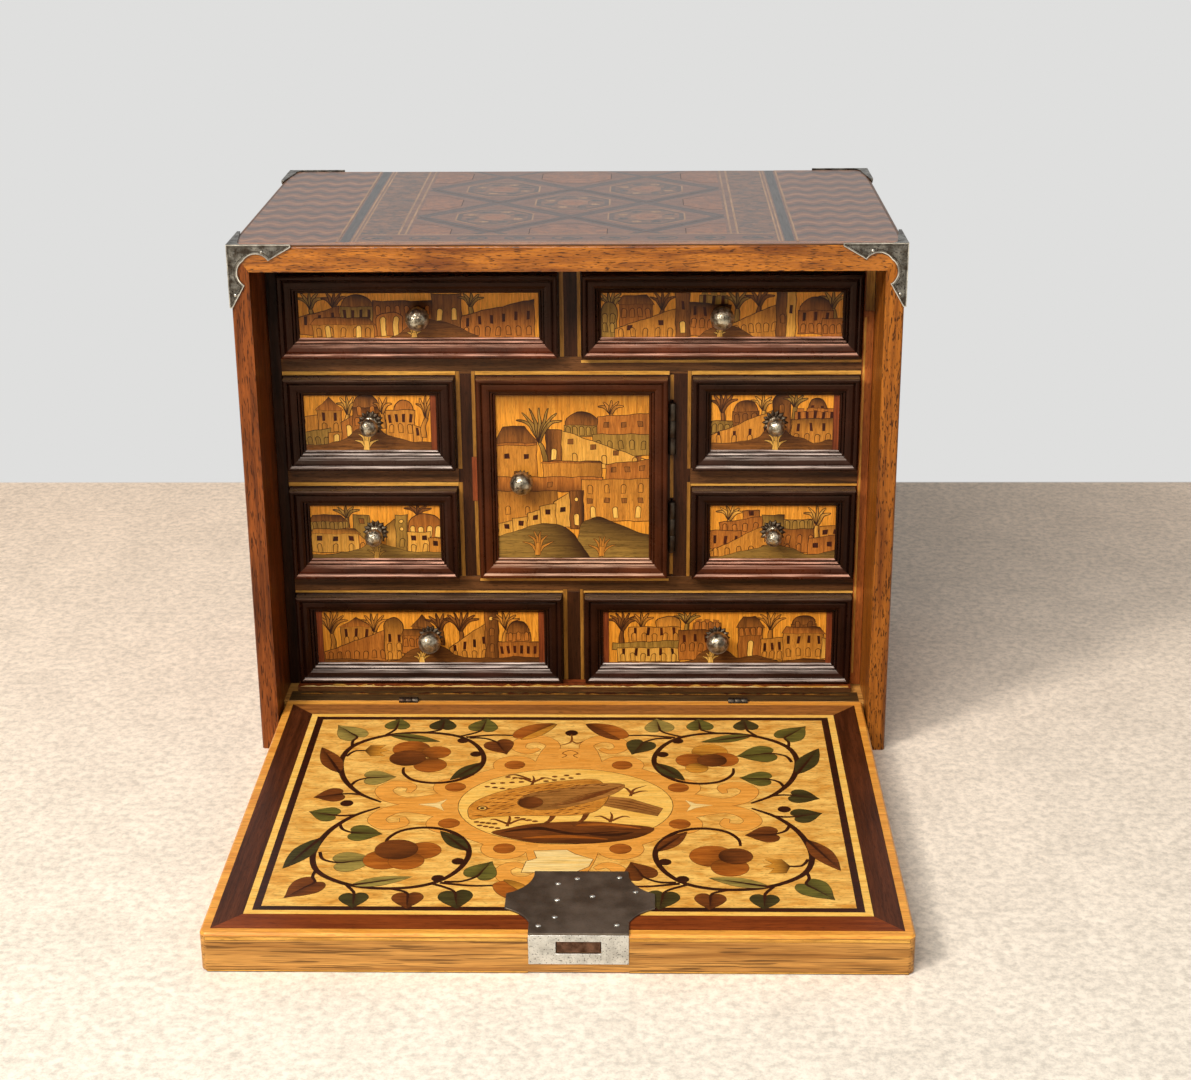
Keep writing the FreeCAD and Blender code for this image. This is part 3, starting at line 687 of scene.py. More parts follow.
def hand_cut(points, sway=0.26, wave=14.0):
    """An outline as a hand-held saw leaves it, a little wavy."""
    wavy = []
    for here, there in zip(points, points[1:] + points[:1]):
        steps = max(int((Vector(there) - Vector(here)).length / 3), 1)
        for i in range(steps):
            at = Vector(here).lerp(Vector(there), i / steps)
            u, v = at * (2 * math.pi / wave)
            aside = math.sin(0.9 * v + 0.35 * u) + 0.6 * math.sin(1.7 * v - 0.8 * u + 1.0)
            upward = math.sin(0.8 * u - 0.3 * v + 2.0) + 0.6 * math.sin(1.6 * u + 0.7 * v)
            wavy.append((at.x + sway * aside, at.y + sway * upward))
    return wavy


# %% The eight drawer pictures and the door
TOWNS = {
    "top_left": [
        (tree, 8, 8, 20, 9, "olive", 5, -1), (tree, 20, 9, 19, 8, "umber", 5, 1),
        (0, 2, 24, 10, "russet", "lean", 7, [("slot", 3, 0.5)]),
        (25, 10, 19, 9, "olive", "dome", 7, [("slot", 4, 0.2)]),
        (44, 1, 35, 21, "russet", "flat", 0, [("niche", 6, 0.62)], 1.0, 85),
        (46, 1, 15, 11, "russet", "bow", 3, [("gate", 2, 0.0)], 0.5, 0),
        (79, 4, 17, 22, "umber", "flat", 0, [("arch", 2, 0.3)], 0.7),
        (tree, 102, 12, 15, 8, "olive", 5, 0),
        (96, 0, 43, 13, "russet", "lean", 10, [("slot", 6, 0.5), ("niche", 7, 0.08)], 1.0, 85),
        (8, 0, 36, 8, "amber", "cap", 4, [("niche", 5, 0.1), ("arch", 2, 0.0)], 0.6),
        (mound, [(52, -1), (60, 3), (67, 9), (78, 11), (93, 7), (101, 3), (108, -1)], "earth"),
        (shoot, 68, 0, 6)],
    "top_right": [
        (tree, 5, 6, 22, 9, "olive", 6, 1),
        (0, 0, 9, 16, "olive", "bow", 5, [("niche", 2, 0.2), ("niche", 2, 0.55)], 0.7),
        (11, 7, 19, 13, "russet", "cap", 5, [("niche", 4, 0.4)]),
        (tree, 36, 7, 21, 8, "umber", 5, 0),
        (8, 0, 36, 5, "amber", "lean", 12, [("square", 2, 0.5), ("niche", 5, 0.02)], 0.5),
        (58, 20, 16, 5, "olive", "crown", 2, [("slot", 3, 0.0)], 0.5),
        (52, 1, 24, 20, "russet", "lean", -2, [("slot", 4, 0.62), ("niche", 5, 0.25)], 1.0, 85),
        (44, 0, 8, 28, "umber", "flat", 0, [("slot", 1, 0.6), ("arch", 1, 0.1)], 0.7, 0),
        (tree, 80, 8, 20, 9, "olive", 5, 0), (tree, 92, 9, 20, 9, "umber", 5, 1),
        (77, 0, 27, 8, "amber", "lean", 12, [("niche", 6, 0.2)], 0.6, 60),
        (103, 0, 7, 28, "umber", "flat", 0, [("niche", 1, 0.3)], 1.0, 150),
        (109, 0, 5, 28, "cream", "flat", 0, [("slot", 1, 0.5)], 0.5),
        (tree, 137, 8, 20, 9, "olive", 5, -1),
        (116, 2, 20, 14, "russet", "dome", 8, [("slot", 3, 0.55), ("niche", 4, 0.05)], 0.7),
        (130, 0, 12, 11, "russet", "flat", 0, [("niche", 3, 0.2)], 0.7),
        (mound, [(56, -1), (62, 4), (70, 7), (80, 6), (86, 2), (90, -1)], "earth"), (shoot, 70, 0, 5)],
    "upper_left": [
        (0, 6, 10, 15, "amber", "lean", 1, [], 0.2),
        (8, 3, 14, 22, "amber", "gable", 8, [("slot", 2, 0.7), ("niche", 2, 0.4)], 0.6),
        (tree, 25, 12, 22, 7, "cream", 5, 1),
        (0, 2, 15, 9, "olive", "lean", 3, [("niche", 3, 0.1)], 0.5),
        (14, 2, 9, 9, "amber", "flat", 0, [("arch", 1, 0.1)], 0.3),
        (22, 4, 9, 13, "russet", "lean", 6, [("arch", 1, 0.3)], 0.6),
        (29, 8, 16, 19, "russet", "dome", 8, [("niche", 2, 0.75), ("niche", 3, 0.4)], 1.0, 85),
        (tree, 47, 14, 19, 6, "amber", 4, 0),
        (54, 24, 11, 2, "russet", "bow", 5, [], 0.6),
        (49, 5, 17, 20, "amber", "flat", 0, [("slot", 4, 0.62), ("niche", 3, 0.3)], 0.5),
        (65, 5, 5, 11, "amber", "lean", -2, [("slot", 1, 0.4)], 0.4),
        (tree, 71, 8, 26, 6, "amber", 5, 2),
        (mound, [(0, 3), (14, 4), (24, 7), (31, 13), (43, 14), (50, 9), (58, 7), (66, 5), (80, 5)], "earth"),
        (shoot, 36.5, 0, 12)],
    "upper_right": [
        (tree, 7, 12, 24, 9, "umber", 6, 0),
        (0, 10, 15, 8, "olive", "flat", 0, [("niche", 4, 0.1)], 0.7),
        (13, 14, 15, 10, "umber", "dome", 7, [("niche", 3, 0.35)], 0.6),
        (tree, 31, 17, 17, 8, "cream", 5, 0),
        (0, 4, 37, 5, "amber", "lean", 16, [("slot", 4, 0.25), ("niche", 4, 0)], 0.5, 60),
        (37, 11, 10, 20, "umber", "bow", 4, [("niche", 1, 0.6)], 1.0, 150),
        (tree, 50, 20, 15, 8, "olive", 5, 0),
        (57, 22, 12, 4, "russet", "dome", 6, [("slot", 2, 0.1)], 0.6),
        (50, 17, 24, 7, "russet", "crown", 2, [("slot", 5, 0.25)], 0.6),
        (48, 4, 31, 15, "amber", "lean", 1, [("slot", 4, 0.5), ("niche", 5, 0.05)], 0.9, 88),
        (mound, [(0, 4), (18, 5), (28, 8), (34, 13), (43, 13), (50, 8), (56, 7), (62, 4), (70, 6), (80, 5)],
         "earth"),
        (shoot, 38.5, 0, 11)],
    "lower_left": [
        (tree, 22, 20, 14, 9, "olive", 5, 0),
        (0, 18, 21, 6, "olive", "cap", 4, [("niche", 4, 0.1)], 0.6),
        (26, 8, 10, 20, "olive", "flat", 0, [("hatch", 1, 0.75)], 0.7),
        (0, 4, 29, 12, "cream", "cap", 3, [("square", 3, 0.6), ("niche", 3, 0)], 0.5),
        (29, 5, 4, 11, "amber", "lean", -4, [("niche", 1, 0)], 0.5),
        (46, 6, 7, 15, "cream", "lean", 6, [], 0.9, 120),
        (52, 5, 7, 23, "olive", "flat", 0, [("stud", 1, 0.78), ("stud", 1, 0.55), ("niche", 1, 0.1)], 0.7, 0),
        (tree, 66, 22, 13, 9, "umber", 5, 0),
        (60, 10, 20, 11, "russet", "bow", 8, [("arch", 4, 0.35)], 0.7),
        (59, 4, 14, 13, "cream", "flat", 0, [("square", 2, 0.6), ("niche", 2, 0)], 0.3),
        (72, 4, 8, 9, "amber", "flat", 0, [("square", 1, 0.45)], 0.5),
        (mound, [(0, 2), (16, 3), (28, 6), (37, 10), (45, 9), (53, 6), (64, 4), (80, 4)], "moss", 0.7, 270),
        (shoot, 39.5, 0, 9, "olive")],
    "lower_right": [
        (tree, 11, 17, 17, 9, "cream", 6, 1),
        (20, 21, 10, 10, "russet", "flat", 0, [("square", 1, 0.65)], 0.8),
        (6, 14, 31, 9, "russet", "lean", 5, [("niche", 5, 0.3)], 0.6),
        (0, 6, 19, 12, "russet", "flat", 0, [("slot", 3, 0.3)], 0.5),
        (32, 14, 13, 14, "olive", "flat", 0, [("hatch", 1, 0.5)], 1.0, 60),
        (0, 1, 36, 3, "amber", "lean", 19, [("niche", 5, 0.1)], 0.5, 100),
        (45, 18, 18, 7, "olive", "flat", 0, [("niche", 4, 0.2)], 0.5),
        (44, 4, 21, 15, "russet", "flat", 0, [("niche", 3, 0.4), ("niche", 3, 0)], 0.8),
        (tree, 65, 11, 23, 9, "cream", 5, 0),
        (67, 9, 13, 12, "amber", "flat", 0, [("square", 2, 0.55)], 0.6),
        (60, 3, 17, 10, "russet", "lean", 2, [("square", 2, 0.4)], 0.7),
        (mound, [(0, 0), (14, 3), (26, 6), (38, 9), (49, 7), (58, 3), (68, 3), (80, 7)], "moss", 0.8, 80)],
    "bottom_left": [
        (tree, 10, 7, 27, 11, "amber", 7, -1),
        (15, 7, 19, 17, "amber", "gable", 6, [("slot", 3, 0.62), ("niche", 3, 0.3)], 0.6),
        (tree, 36, 10, 23, 9, "amber", 6, 0),
        (0, 1, 43, 4, "russet", "lean", 17, [("niche", 8, 0.1)], 0.5, 60),
        (42, 2, 12, 20, "amber", "bow", 8, [("slot", 2, 0.6), ("niche", 2, 0.3), ("niche", 2, 0)], 0.9, 85),
        (60, 20, 12, 4, "umber", "gable", 8, [], 0.5),
        (53, 6, 20, 12, "russet", "cap", 4, [("niche", 5, 0.4)], 0.7),
        (tree, 78, 12, 21, 10, "umber", 6, -1), (tree, 90, 10, 24, 12, "umber", 7, 0),
        (83, 2, 24, 8, "amber", "lean", 18, [("slot", 4, 0.45), ("niche", 4, 0.05)], 0.6, 60),
        (105, 0, 8, 36, "umber", "flat", 0, [("stud", 1, 0.8), ("niche", 1, 0.5), ("niche", 1, 0.2)], 0.8, 0),
        (tree, 117, 12, 22, 9, "amber", 6, 1),
        (118, 12, 15, 8, "russet", "dome", 8, [("niche", 3, 0.4)], 0.7),
        (113, 1, 29, 13, "russet", "flat", 0, [("slot", 7, 0.4)], 0.7),
        (mound, [(0, 2), (20, 2), (40, 1), (51, 2), (58, 8), (68, 11), (80, 10), (88, 4), (110, 3),
                 (125, 4), (142, 3)],
         "earth"),
        (shoot, 65, 0, 8)],
    "bottom_right": [
        (tree, 11, 11, 23, 11, "umber", 7, 1), (tree, 24, 15, 19, 8, "amber", 5, 0),
        (33, 24, 15, 3, "amber", "bow", 4, [], 0.7),
        (16, 13, 32, 11, "amber", "flat", 0, [("slot", 4, 0.5), ("niche", 5, 0.15)], 0.4),
        (tree, 52, 20, 14, 9, "olive", 6, 0),
        (6, 9, 41, 4, "olive", "lean", 2, [], 0.5),
        (9, 1, 38, 9, "cream", "flat", 0, [("slot", 5, 0.4), ("niche", 6, 0)], 0.35),
        (56, 22, 17, 5, "russet", "crown", 2, [("niche", 4, 0.1)], 0.6),
        (47, 2, 27, 20, "russet", "flat", 0, [("slot", 4, 0.6), ("niche", 5, 0.3)], 0.9, 85),
        (84, 2, 15, 22, "russet", "cap", 7, [("niche", 4, 0.75), ("gate", 1, 0.05)], 0.8),
        (tree, 104, 13, 21, 10, "amber", 6, 0),
        (98, 2, 14, 14, "amber", "lean", 1, [("slot", 3, 0.45), ("niche", 3, 0.05)], 0.5),
        (117, 22, 15, 4, "umber", "dome", 6, [("niche", 2, 0.2)], 0.6),
        (112, 2, 25, 18, "amber", "cap", 4, [("slot", 4, 0.62), ("niche", 4, 0.15)], 0.6),
        (136, 3, 7, 14, "cream", "lean", -2, [("slot", 1, 0.5)], 0.5),
        (mound, [(0, 0), (30, 0), (54, 1), (60, 6), (67, 10), (77, 8), (84, 3), (96, 5), (110, 1), (128, 3),
                 (142, 1)],
         "earth"),
        (shoot, 67, 0, 8)],
    "door": [
        (tree, 70, 84, 16, 8, "amber", 5, -1),
        (41, 78, 21, 7, "olive", "dome", 8, [("niche", 5, 0.1)], 0.6),
        (61, 78, 31, 12, "russet", "lean", 2, [("hatch", 3, 0.45)], 0.5, 20),
        (58, 66, 34, 13, "olive", "flat", 0, [("niche", 5, 0.3)], 0.4),
        (0, 72, 24, 2, "russet", "cap", 10, [], 0.9, 90),
        (0, 52, 24, 20, "amber", "flat", 0, [("square", 2, 0.58), ("hatch", 1, 0.05)], 0.4),
        (38, 58, 54, 24, "cream", "lean", -20, [("hatch", 4, 0.7), ("niche", 3, 0.2)], 0.4, 100),
        (30, 57, 9, 25, "umber", "flat", 0, [("arch", 1, 0.25)], 0.9, 180),
        (tree, 30, 55, 41, 15, "olive", 7, -4),
        (28, 52, 35, 9, "amber", "cap", 1, [], 0.7, 20),
        (66, 50, 26, 10, "russet", "lean", 3, [("hatch", 3, 0.5)], 0.6),
        (0, 43, 64, 9, "russet", "flat", 0, [("hatch", 3, 0.3)], 0.8, 270),
        (51, 24, 41, 26, "amber", "lean", 1, [("niche", 4, 0.68), ("hatch", 4, 0.44), ("arch", 3, 0.08)],
         0.5),
        (0, 16, 36, 27, "amber", "flat", 0, [("niche", 3, 0.45)], 0.8),
        (34, 20, 11, 16, "cream", "lean", 7, [("square", 1, 0.5)], 0.5),
        (44, 19, 8, 24, "umber", "flat", 0, [("stud", 1, 0.72), ("arch", 1, 0.1)], 1.0, 0),
        (0, 14, 10, 8, "cream", "lean", 2, [("square", 1, 0.5)], 0.5),
        (9, 16, 10, 9, "cream", "lean", 2, [("square", 1, 0.5)], 0.5),
        (18, 19, 9, 10, "cream", "lean", 2, [("square", 1, 0.5)], 0.5),
        (26, 22, 9, 11, "cream", "lean", 2, [("square", 1, 0.5)], 0.5),
        (mound, [(47, -1), (50, 20), (56, 25), (63, 26), (72, 22), (84, 17), (93, 14)], "moss", 1.0, 75),
        (mound, [(-1, 13), (10, 17), (22, 21), (34, 22), (44, 17), (50, 9), (56, -1)], "moss", 1.0, 30),
        (shoot, 24, 2, 15, "amber"), (shoot, 63, 1, 13, "amber")],
}
END_STRIP_MM, DOOR_SKY_MM = 3.4, 22
for name, town in TOWNS.items():
    node = "door_marquetry" if name == "door" else f"drawer_{name}_marquetry"
    body = "door" if name == "door" else f"drawer_{name}"
    low, high = box_mm(node)
    width, height = high.x - low.x, high.z - low.z
    picture = []
    if name == "door":
        lay(picture, oblong(0, height - DOOR_SKY_MM, width, height), "sky", 0.75, 90, 0.0)
    for entry in town:
        draw, values = (entry[0], entry[1:]) if callable(entry[0]) else (building, entry)
        draw(picture, *values)
    picture = [(hand_cut(list(points)), *rest) for points, *rest in picture]
    ends = {"upper": [width - END_STRIP_MM], "bottom": [0, width - END_STRIP_MM]}.get(name.split("_")[0], [])
    for left in ends:
        lay(picture, oblong(left, 0, left + END_STRIP_MM, height), "red", 0.5, 270)
    inlay(f"{name}_townscape", picture, upright(*low), (0, 0, width, height), body)

# %% [markdown]
# The fall: bands, strings and a field of scrolling vine
#
# The inside of the fall is the show side. A dark band, a light string and a dark line run round a pale
# field, with mitred corners. In the field a vine curls into four spirals round four flowers, and
# strapwork in the middle holds an oval with a bird. Such scrolls were sawn in packets, so one quarter is
# drawn and turned over for the others.

# %% Veneers for the fall
LEAF_GRAIN, PETAL_GRAIN = ((14, 1.6), (3, 0.4), 0.35), ((14, 1.8), (3, 0.4), 0.3)
BAND_GRAIN = ((60, 3), (5, 0.5), 0.4, 0.34, 0.02, 0.1)
VENEERS |= {
    "stem": wood("black-brown vine veneer", "#3a170a", "#241006", X, *LINE_GRAIN),
    "saw line": wood("scorched saw line", "#8a4f1c", "#6b3912", X, *LINE_GRAIN),
    "leaf": wood("green stained maple leaf", "#706a2c", "#4e4a1e", X, *LEAF_GRAIN),
    "dark leaf": wood("dark green stained leaf", "#48421f", "#2e2b13", X, *LEAF_GRAIN),
    "brown leaf": wood("walnut leaf", "#7d431a", "#582c0f", X, *LEAF_GRAIN),
    "pale leaf": wood("faded green leaf", "#a8944a", "#857337", X, *LEAF_GRAIN),
    "petal": wood("cherry petal", "#b56722", "#8e4712", X, *PETAL_GRAIN),
    "gold petal": wood("golden pear petal", "#dd9a36", "#bb7822", X, *PETAL_GRAIN),
    "tail": wood("grey-brown walnut feather", "#b47a3a", "#8a5824", X, (18, 1.2), (4, 0.4), 0.5),
    "bird": wood("mottled pear feather", "#e0983c", "#bf7826", X, (9, 3), (2.4, 0.6), 0.5),
    "peach": wood("peach pearwood strapwork", "#eaa54a", "#d99036", X, (30, 3), (3, 0.5), 0.2),
    "pale": wood("pale holly", "#f6c868", "#e8b04c", X, (20, 4), (3, 1.0), 0.2),
    "patch": wood("bleached repair patch", "#f4d896", "#e5bd6c", X, (26, 2.4), (4, 0.5), 0.2),
    "band front": wood("plum front band", "#86401a", "#63290f", X, *BAND_GRAIN),
    "band side": wood("dark plum side band", "#552b16", "#381a0a", Y, *BAND_GRAIN),
    "band rear": wood("walnut rear band", "#a66a31", "#845023", X, (60, 3), (6, 0.7), 0.55, 0.36),
}


def band(sheet, half_u, half_v, width, veneers):
    """Four mitred strips: front, right, rear and left, from an outer edge inwards."""
    outer = oblong(-half_u, -half_v, half_u, half_v)
    inner = [(u - math.copysign(width, u), v - math.copysign(width, v)) for u, v in outer]
    mitred(sheet, outer, inner, veneers)


def turn_over(points, u_way, v_way):
    """Points turned over into another quarter of the field."""
    return [(u * u_way, v * v_way) for u, v in points]


HEART = ((0.0, 0.0), (-0.13, 0.2), (-0.03, 0.43), (0.26, 0.52), (0.58, 0.36), (0.84, 0.12), (1.0, 0.0))
LENS = ((0.0, 0.0), (0.14, 0.28), (0.42, 0.5), (0.72, 0.34), (1.0, 0.0))


def leaf(sheet, stalk, base, tip, width, form, veneer):
    """A leaf in two halves, each scorched towards a dark midrib, on a stalk from the vine."""
    base, tip = Vector(base), Vector(tip)
    ahead = tip - base
    side = Vector((-ahead.y, ahead.x)).normalized()
    facing = math.degrees(math.atan2(side.y, side.x))
    for way in (1, -1):
        edge = through([tuple(base + ahead * along + side * way * out * width) for along, out in form], 4)
        lay(sheet, edge, veneer, 0.45 + 0.35 * (way > 0), facing + 180 if way > 0 else facing, 0.2)
    rib = [tuple(base + ahead * along) for along in (0.0, 0.35, 0.75)]
    stroke(sheet, stalk + rib, [2.0, 1.7, 1.3, 0.3], "stem")


def joined(sheet, shapes, veneer, line=0.28):
    """Several shapes of one veneer that read as one piece with one outline."""
    for shape in shapes:
        sheet.append((grow(shape, line), VENEERS["saw line"], 0.0, 0))
    for shape in shapes:
        sheet.append((shape, VENEERS[veneer], 0.0, 0))


# %% One quarter of the vine, four times
VINE = [(103, 3), (116, 13), (126, 28), (131, 44), (132, 60), (127, 75), (114, 86), (98, 91.5), (80, 91.5),
        (65, 86), (54.5, 74), (49.5, 58), (52, 43), (61, 31), (74, 26.5), (87, 29.5), (94, 38), (95, 46)]
VINE_WIDTHS = [1.4, 2.6, 3.2, 3.4, 3.3, 3.1, 2.9, 2.7, 2.6, 2.7, 2.9, 3.1, 3.0, 2.8, 2.5, 2.3, 2.0, 1.4]
LEAVES = [
    ([(128, 72), (129, 80)], (127, 86), (140.5, 102), 17, HEART),
    ([], (131, 39), (146, 72), 12, LENS),
    ([(129, 54), (126, 62)], (117.5, 65.5), (97.5, 61.5), 20, HEART),
    ([(122.5, 23), (120, 29)], (114, 32.5), (98, 34), 17, HEART),
    ([(115, 12), (121, 13)], (127, 12.5), (141.5, 8.5), 15.5, HEART),
    ([], (108, 89), (77, 80), 9, LENS),
    ([(110, 89), (106, 95)], (105, 98.5), (104, 112), 14.5, HEART),
    ([(88, 92), (80, 95)], (77.5, 98), (76.5, 112.5), 15.5, HEART),
    ([(66, 87), (57, 92)], (53.5, 96), (51, 112.5), 17, HEART),
    ([(60, 85), (51, 84.5)], (43.5, 79.5), (36.5, 63.5), 17, HEART),
    ([], (50.5, 52), (67, 30), 9.5, LENS)]
TULIP_LEAF = 2
LEAF_KINDS = {"G": "leaf", "D": "dark leaf", "B": "brown leaf", "P": "pale leaf"}
NO_LEAF = "-"
LEAF_WOODS = {(1, 1): "GDGGDGDGPDD", (-1, 1): "PB-PBGGDGBD", (1, -1): "GB-BDPDBDBB", (-1, -1): "BDPGGPDBDGD"}
FLOWERS = {
    (1, 1): [(82, 67, 10.5, "gold petal", 250), (89, 57, 9.5, "petal", 180), (71, 56, 9, "petal", 0),
             (74, 46, 6.5, "gold petal", 60), (83, 56, 8.5, "brown leaf", 0)],
    (-1, 1): [(-93, 70, 11, "petal", 330), (-78, 65.5, 8.5, "petal", 220), (-80, 49, 9.5, "petal", 110),
              (-94, 58, 10.5, "brown leaf", 270)],
    (1, -1): [(79.5, -57, 12, "petal", 330), (88.5, -69, 10, "petal", 100), (92, -57, 9, "brown leaf", 200)],
    (-1, -1): [(-94, -62, 11, "petal", 60), (-74, -52, 9.5, "petal", 200), (-82, -63.5, 9.5, "petal", 90),
               (-88.5, -51, 11.5, "brown leaf", 300)]}
BERRIES = [(54.5, 63.5, 3.5), (63.5, 81.5, 3.5)]
BERRY_ALONE = [(121, -4, 3.7), (-122, 1.5, 3.7), (0.5, 92, 3.9)]
BUD = [(34.5, 88), (31, 97.5), (21.5, 104), (9.5, 104.5), (13.5, 94), (21.5, 85.5), (29, 84)]
TULIP = [(120, 67.5), (117.5, 74.5), (108.5, 75), (111.5, 70), (106, 68), (111, 65), (107.5, 60.5),
         (116, 60.5)]
low, high = box_mm("fall_marquetry")
edge_low, edge_high = box_mm("fall_border")
field_u, field_v = high.x, (high.y - low.y) / 2
border_u, border_v = edge_high.x, (edge_high.y - edge_low.y) / 2
STRING_W, LINE_W = 3.8, 4.0
field = []
band(field, border_u, border_v, border_u - field_u, ["band front", "band side", "band rear", "band side"])
band(field, field_u, field_v, STRING_W, ["pale"] * 4)
band(field, field_u - STRING_W, field_v - STRING_W, LINE_W, ["stem"] * 4)
OVAL = (59.5, 44.5)
WAYS = ((1, 1), (-1, 1), (1, -1), (-1, -1))
STUDS = [(31, 49.5), (63, 21.5)]
HEADS = [
    ([(62, 10), (76, 6), (89, 4), (99, 9), (103, 18), (97, 25), (88, 22), (89, 15)],
     [16, 11, 9, 10, 10, 8, 6, 3]),
    ([(12, 50), (12, 64), (10, 76), (18, 84), (28, 81), (30, 72), (24, 67), (18, 71)],
     [16, 10, 8, 9, 9, 8, 6, 3])]
strap = [arc(0, 0, 71, 56, steps=40), oblong(-13, 44, 13, 71), oblong(-13, -71, 13, -44)]
for way in WAYS:
    strap += [ribbon(through(turn_over(path, *way), 6), widths) for path, widths in HEADS]
    strap += [arc(u * way[0], v * way[1], 12.5, 11.5, steps=20) for u, v in STUDS]
joined(field, strap, "peach")
for way in WAYS:
    for u, v in STUDS:
        lay(field, arc(u * way[0], v * way[1], 5.8, 5.4, steps=18), "petal", 0.5, 320, 0.2)
STAR = [(66.5, 6.5), (72.5, 2), (82, 0.5), (72.5, -2.5), (67, -7), (69.5, 0)]
for way in (1, -1):
    lay(field, turn_over(STAR, way, 1), "patch", 0.0, 0, 0.15)
for way in WAYS:
    stroke(field, turn_over(VINE, *way), VINE_WIDTHS, "stem")
    stroke(field, turn_over([(62, 86), (46, 89), (33, 88.5)], *way), [2.2, 1.8, 1.6], "stem")
    for (stalk, base, tip, width, form), kind in zip(LEAVES, LEAF_WOODS[way]):
        if kind != NO_LEAF:
            leaf(field, turn_over(stalk, *way), *turn_over([base, tip], *way), width, form, LEAF_KINDS[kind])
    if LEAF_WOODS[way][TULIP_LEAF] == NO_LEAF:
        stroke(field, turn_over([(130, 60), (126, 67), (118, 67.5)], *way), [1.8, 1.4], "stem")
        lay(field, turn_over(TULIP, *way), "gold petal", 1.0, 0 if way[0] > 0 else 180, 0.2)
    bud = turn_over(BUD, *way)
    blob(field, bud, "petal", 1.0, 200 if way[0] > 0 else 340, 0.2)
    blob(field, bud[3:7], "gold petal" if way[0] < 0 else "brown leaf", 0.8, 90)
    for u, v, radius, veneer, toward in FLOWERS[way]:
        lay(field, arc(u, v, radius, radius * 0.94, steps=24), veneer, 0.9, toward, 0.15)
    for u, v, radius in BERRIES:
        plain(field, arc(u * way[0], v * way[1], radius, radius, steps=14), "stem")
for u, v, radius in BERRY_ALONE:
    plain(field, arc(u, v, radius, radius, steps=14), "stem")
print(len(field), "slabs before the middle of the field")

# %% The bird in its oval
TREFOIL = [(-4, 59), (-1.5, 62), (-4, 65), (0.5, 68.5), (5, 65), (2.5, 62), (5, 59)]
stroke(field, TREFOIL, [0.7, 0.7], "saw line")
for path in ([(0.5, 90), (0.5, 80), (-6, 75)], [(0.5, 82), (4, 78), (8, 81)]):
    stroke(field, path, [0.8, 1.4, 0.4], "saw line")
PATCH = [(-15, -52), (2.5, -51), (7, -55.5), (16.5, -61), (14.5, -68.5), (7, -75), (-20.5, -75),
         (-18.5, -63.5), (-13, -60)]
lay(field, PATCH, "patch", 0.0, 0, 0.4)
lay(field, arc(0, 0, *OVAL, steps=56), "pale", 0.0, 0, 0.35)
GROUND = [(-39, -32), (-30, -27), (-19, -22.5), (-4, -20), (14, -19), (32, -22), (49, -26.5), (40, -37),
          (20, -43), (2, -44), (-14, -43), (-27, -39)]
blob(field, GROUND, "brown leaf", 0.9, 280, 0.2)
CLODS = (([(-34, -32), (-14, -27), (6, -33), (30, -30)], "stem"),
         ([(-22, -38), (2, -36), (24, -39)], "petal"),
         ([(4, -24), (22, -22), (42, -27)], "petal"), ([(14, -34), (28, -34), (38, -31)], "stem"))
for path, veneer in CLODS:
    stroke(field, path, [0.5, 3.4, 2.6, 0.5], veneer, 0.5)
TWIGS = [[(-20, 24), (-19, 31), (-20, 36)], [(-20, 28), (-27, 33), (-32, 31)],
         [(-19, 28), (-13, 33), (-8, 31)], [(-21, 31), (-30, 37), (-36, 34)],
         [(36, 11), (38, 19), (45, 24)], [(37, 13), (34, 20), (31, 22)], [(37, 14), (42, 17), (46, 17)],
         [(-31, -25), (-30, -16), (-31, -11)], [(-31, -22), (-38, -17), (-41, -18)],
         [(-30, -22), (-24, -17), (-20, -19)], [(25, -20), (26, -13), (25, -8)],
         [(26, -18), (32, -13), (36, -14)], [(25, -18), (20, -13), (16, -14)]]
for path in TWIGS:
    stroke(field, path, [1.9, 1.5, 0.3], "brown leaf")
SPRIGS = [(-45, 22, -32, 19), (-42, 26, -26, 28), (-34, 34, -22, 31), (-14, 33, 6, 38), (-12, 29, 2, 33),
          (-48, -20, -38, -22), (-46, -24, -36, -27), (-26, -15, -16, -19)]
for u0, v0, u1, v1 in SPRIGS:
    for i in range(4):
        at = Vector((u0, v0)).lerp(Vector((u1, v1)), i / 3)
        plain(field, arc(at.x, at.y, 1.7, 1.1, steps=8), "brown leaf")
for path in ([(-6, -10), (-8, -18), (-13, -24)], [(12, -9), (10, -17), (5, -24)]):
    stroke(field, path, [3.4, 2.2, 1.4], "brown leaf", 0.5, 270, 0.15)
TAIL = [(18, 12), (36, 8), (54, -3.5), (51, -12.5), (34, -6), (18, 1)]
lay(field, TAIL, "tail", 0.6, 270, 0.2)
for i in range(3):
    plume = [(22, 8 - 3 * i), (36, 4 - 3.2 * i), (52, -5 - 2.4 * i)]
    stroke(field, plume, [0.3, 1.2, 0.3], "brown leaf")
BODY = [(-51, -17), (-53.5, -9), (-53, -1.5), (-48, 7), (-37, 16), (-21.5, 23.5), (-4, 29), (13.5, 31.5),
        (20, 27), (24, 12), (19, -4), (11, -10.5), (-4, -12.5), (-26, -12.5), (-43.5, -14.5)]
blob(field, BODY, "bird", 0.45, 75, 0.3)
WING = [(-27, 3), (-20, 14), (-2, 20), (16, 26), (32.5, 25), (26, 13), (10, 2), (-6, -5), (-20, -5)]
blob(field, WING, "tail", 0.5, 240, 0.2)
for i in range(5):
    quill = [(-10 + 4 * i, -2 + 3.2 * i), (6 + 4 * i, 4 + 3.4 * i), (22 + 2.4 * i, 14 + 2.4 * i)]
    stroke(field, quill, [0.4, 1.5, 0.3], "brown leaf")
lay(field, arc(-19.5, 3, 6.8, 6.8, steps=18), "brown leaf", 0.9, 180, 0.2)
flecks = random.Random(3)
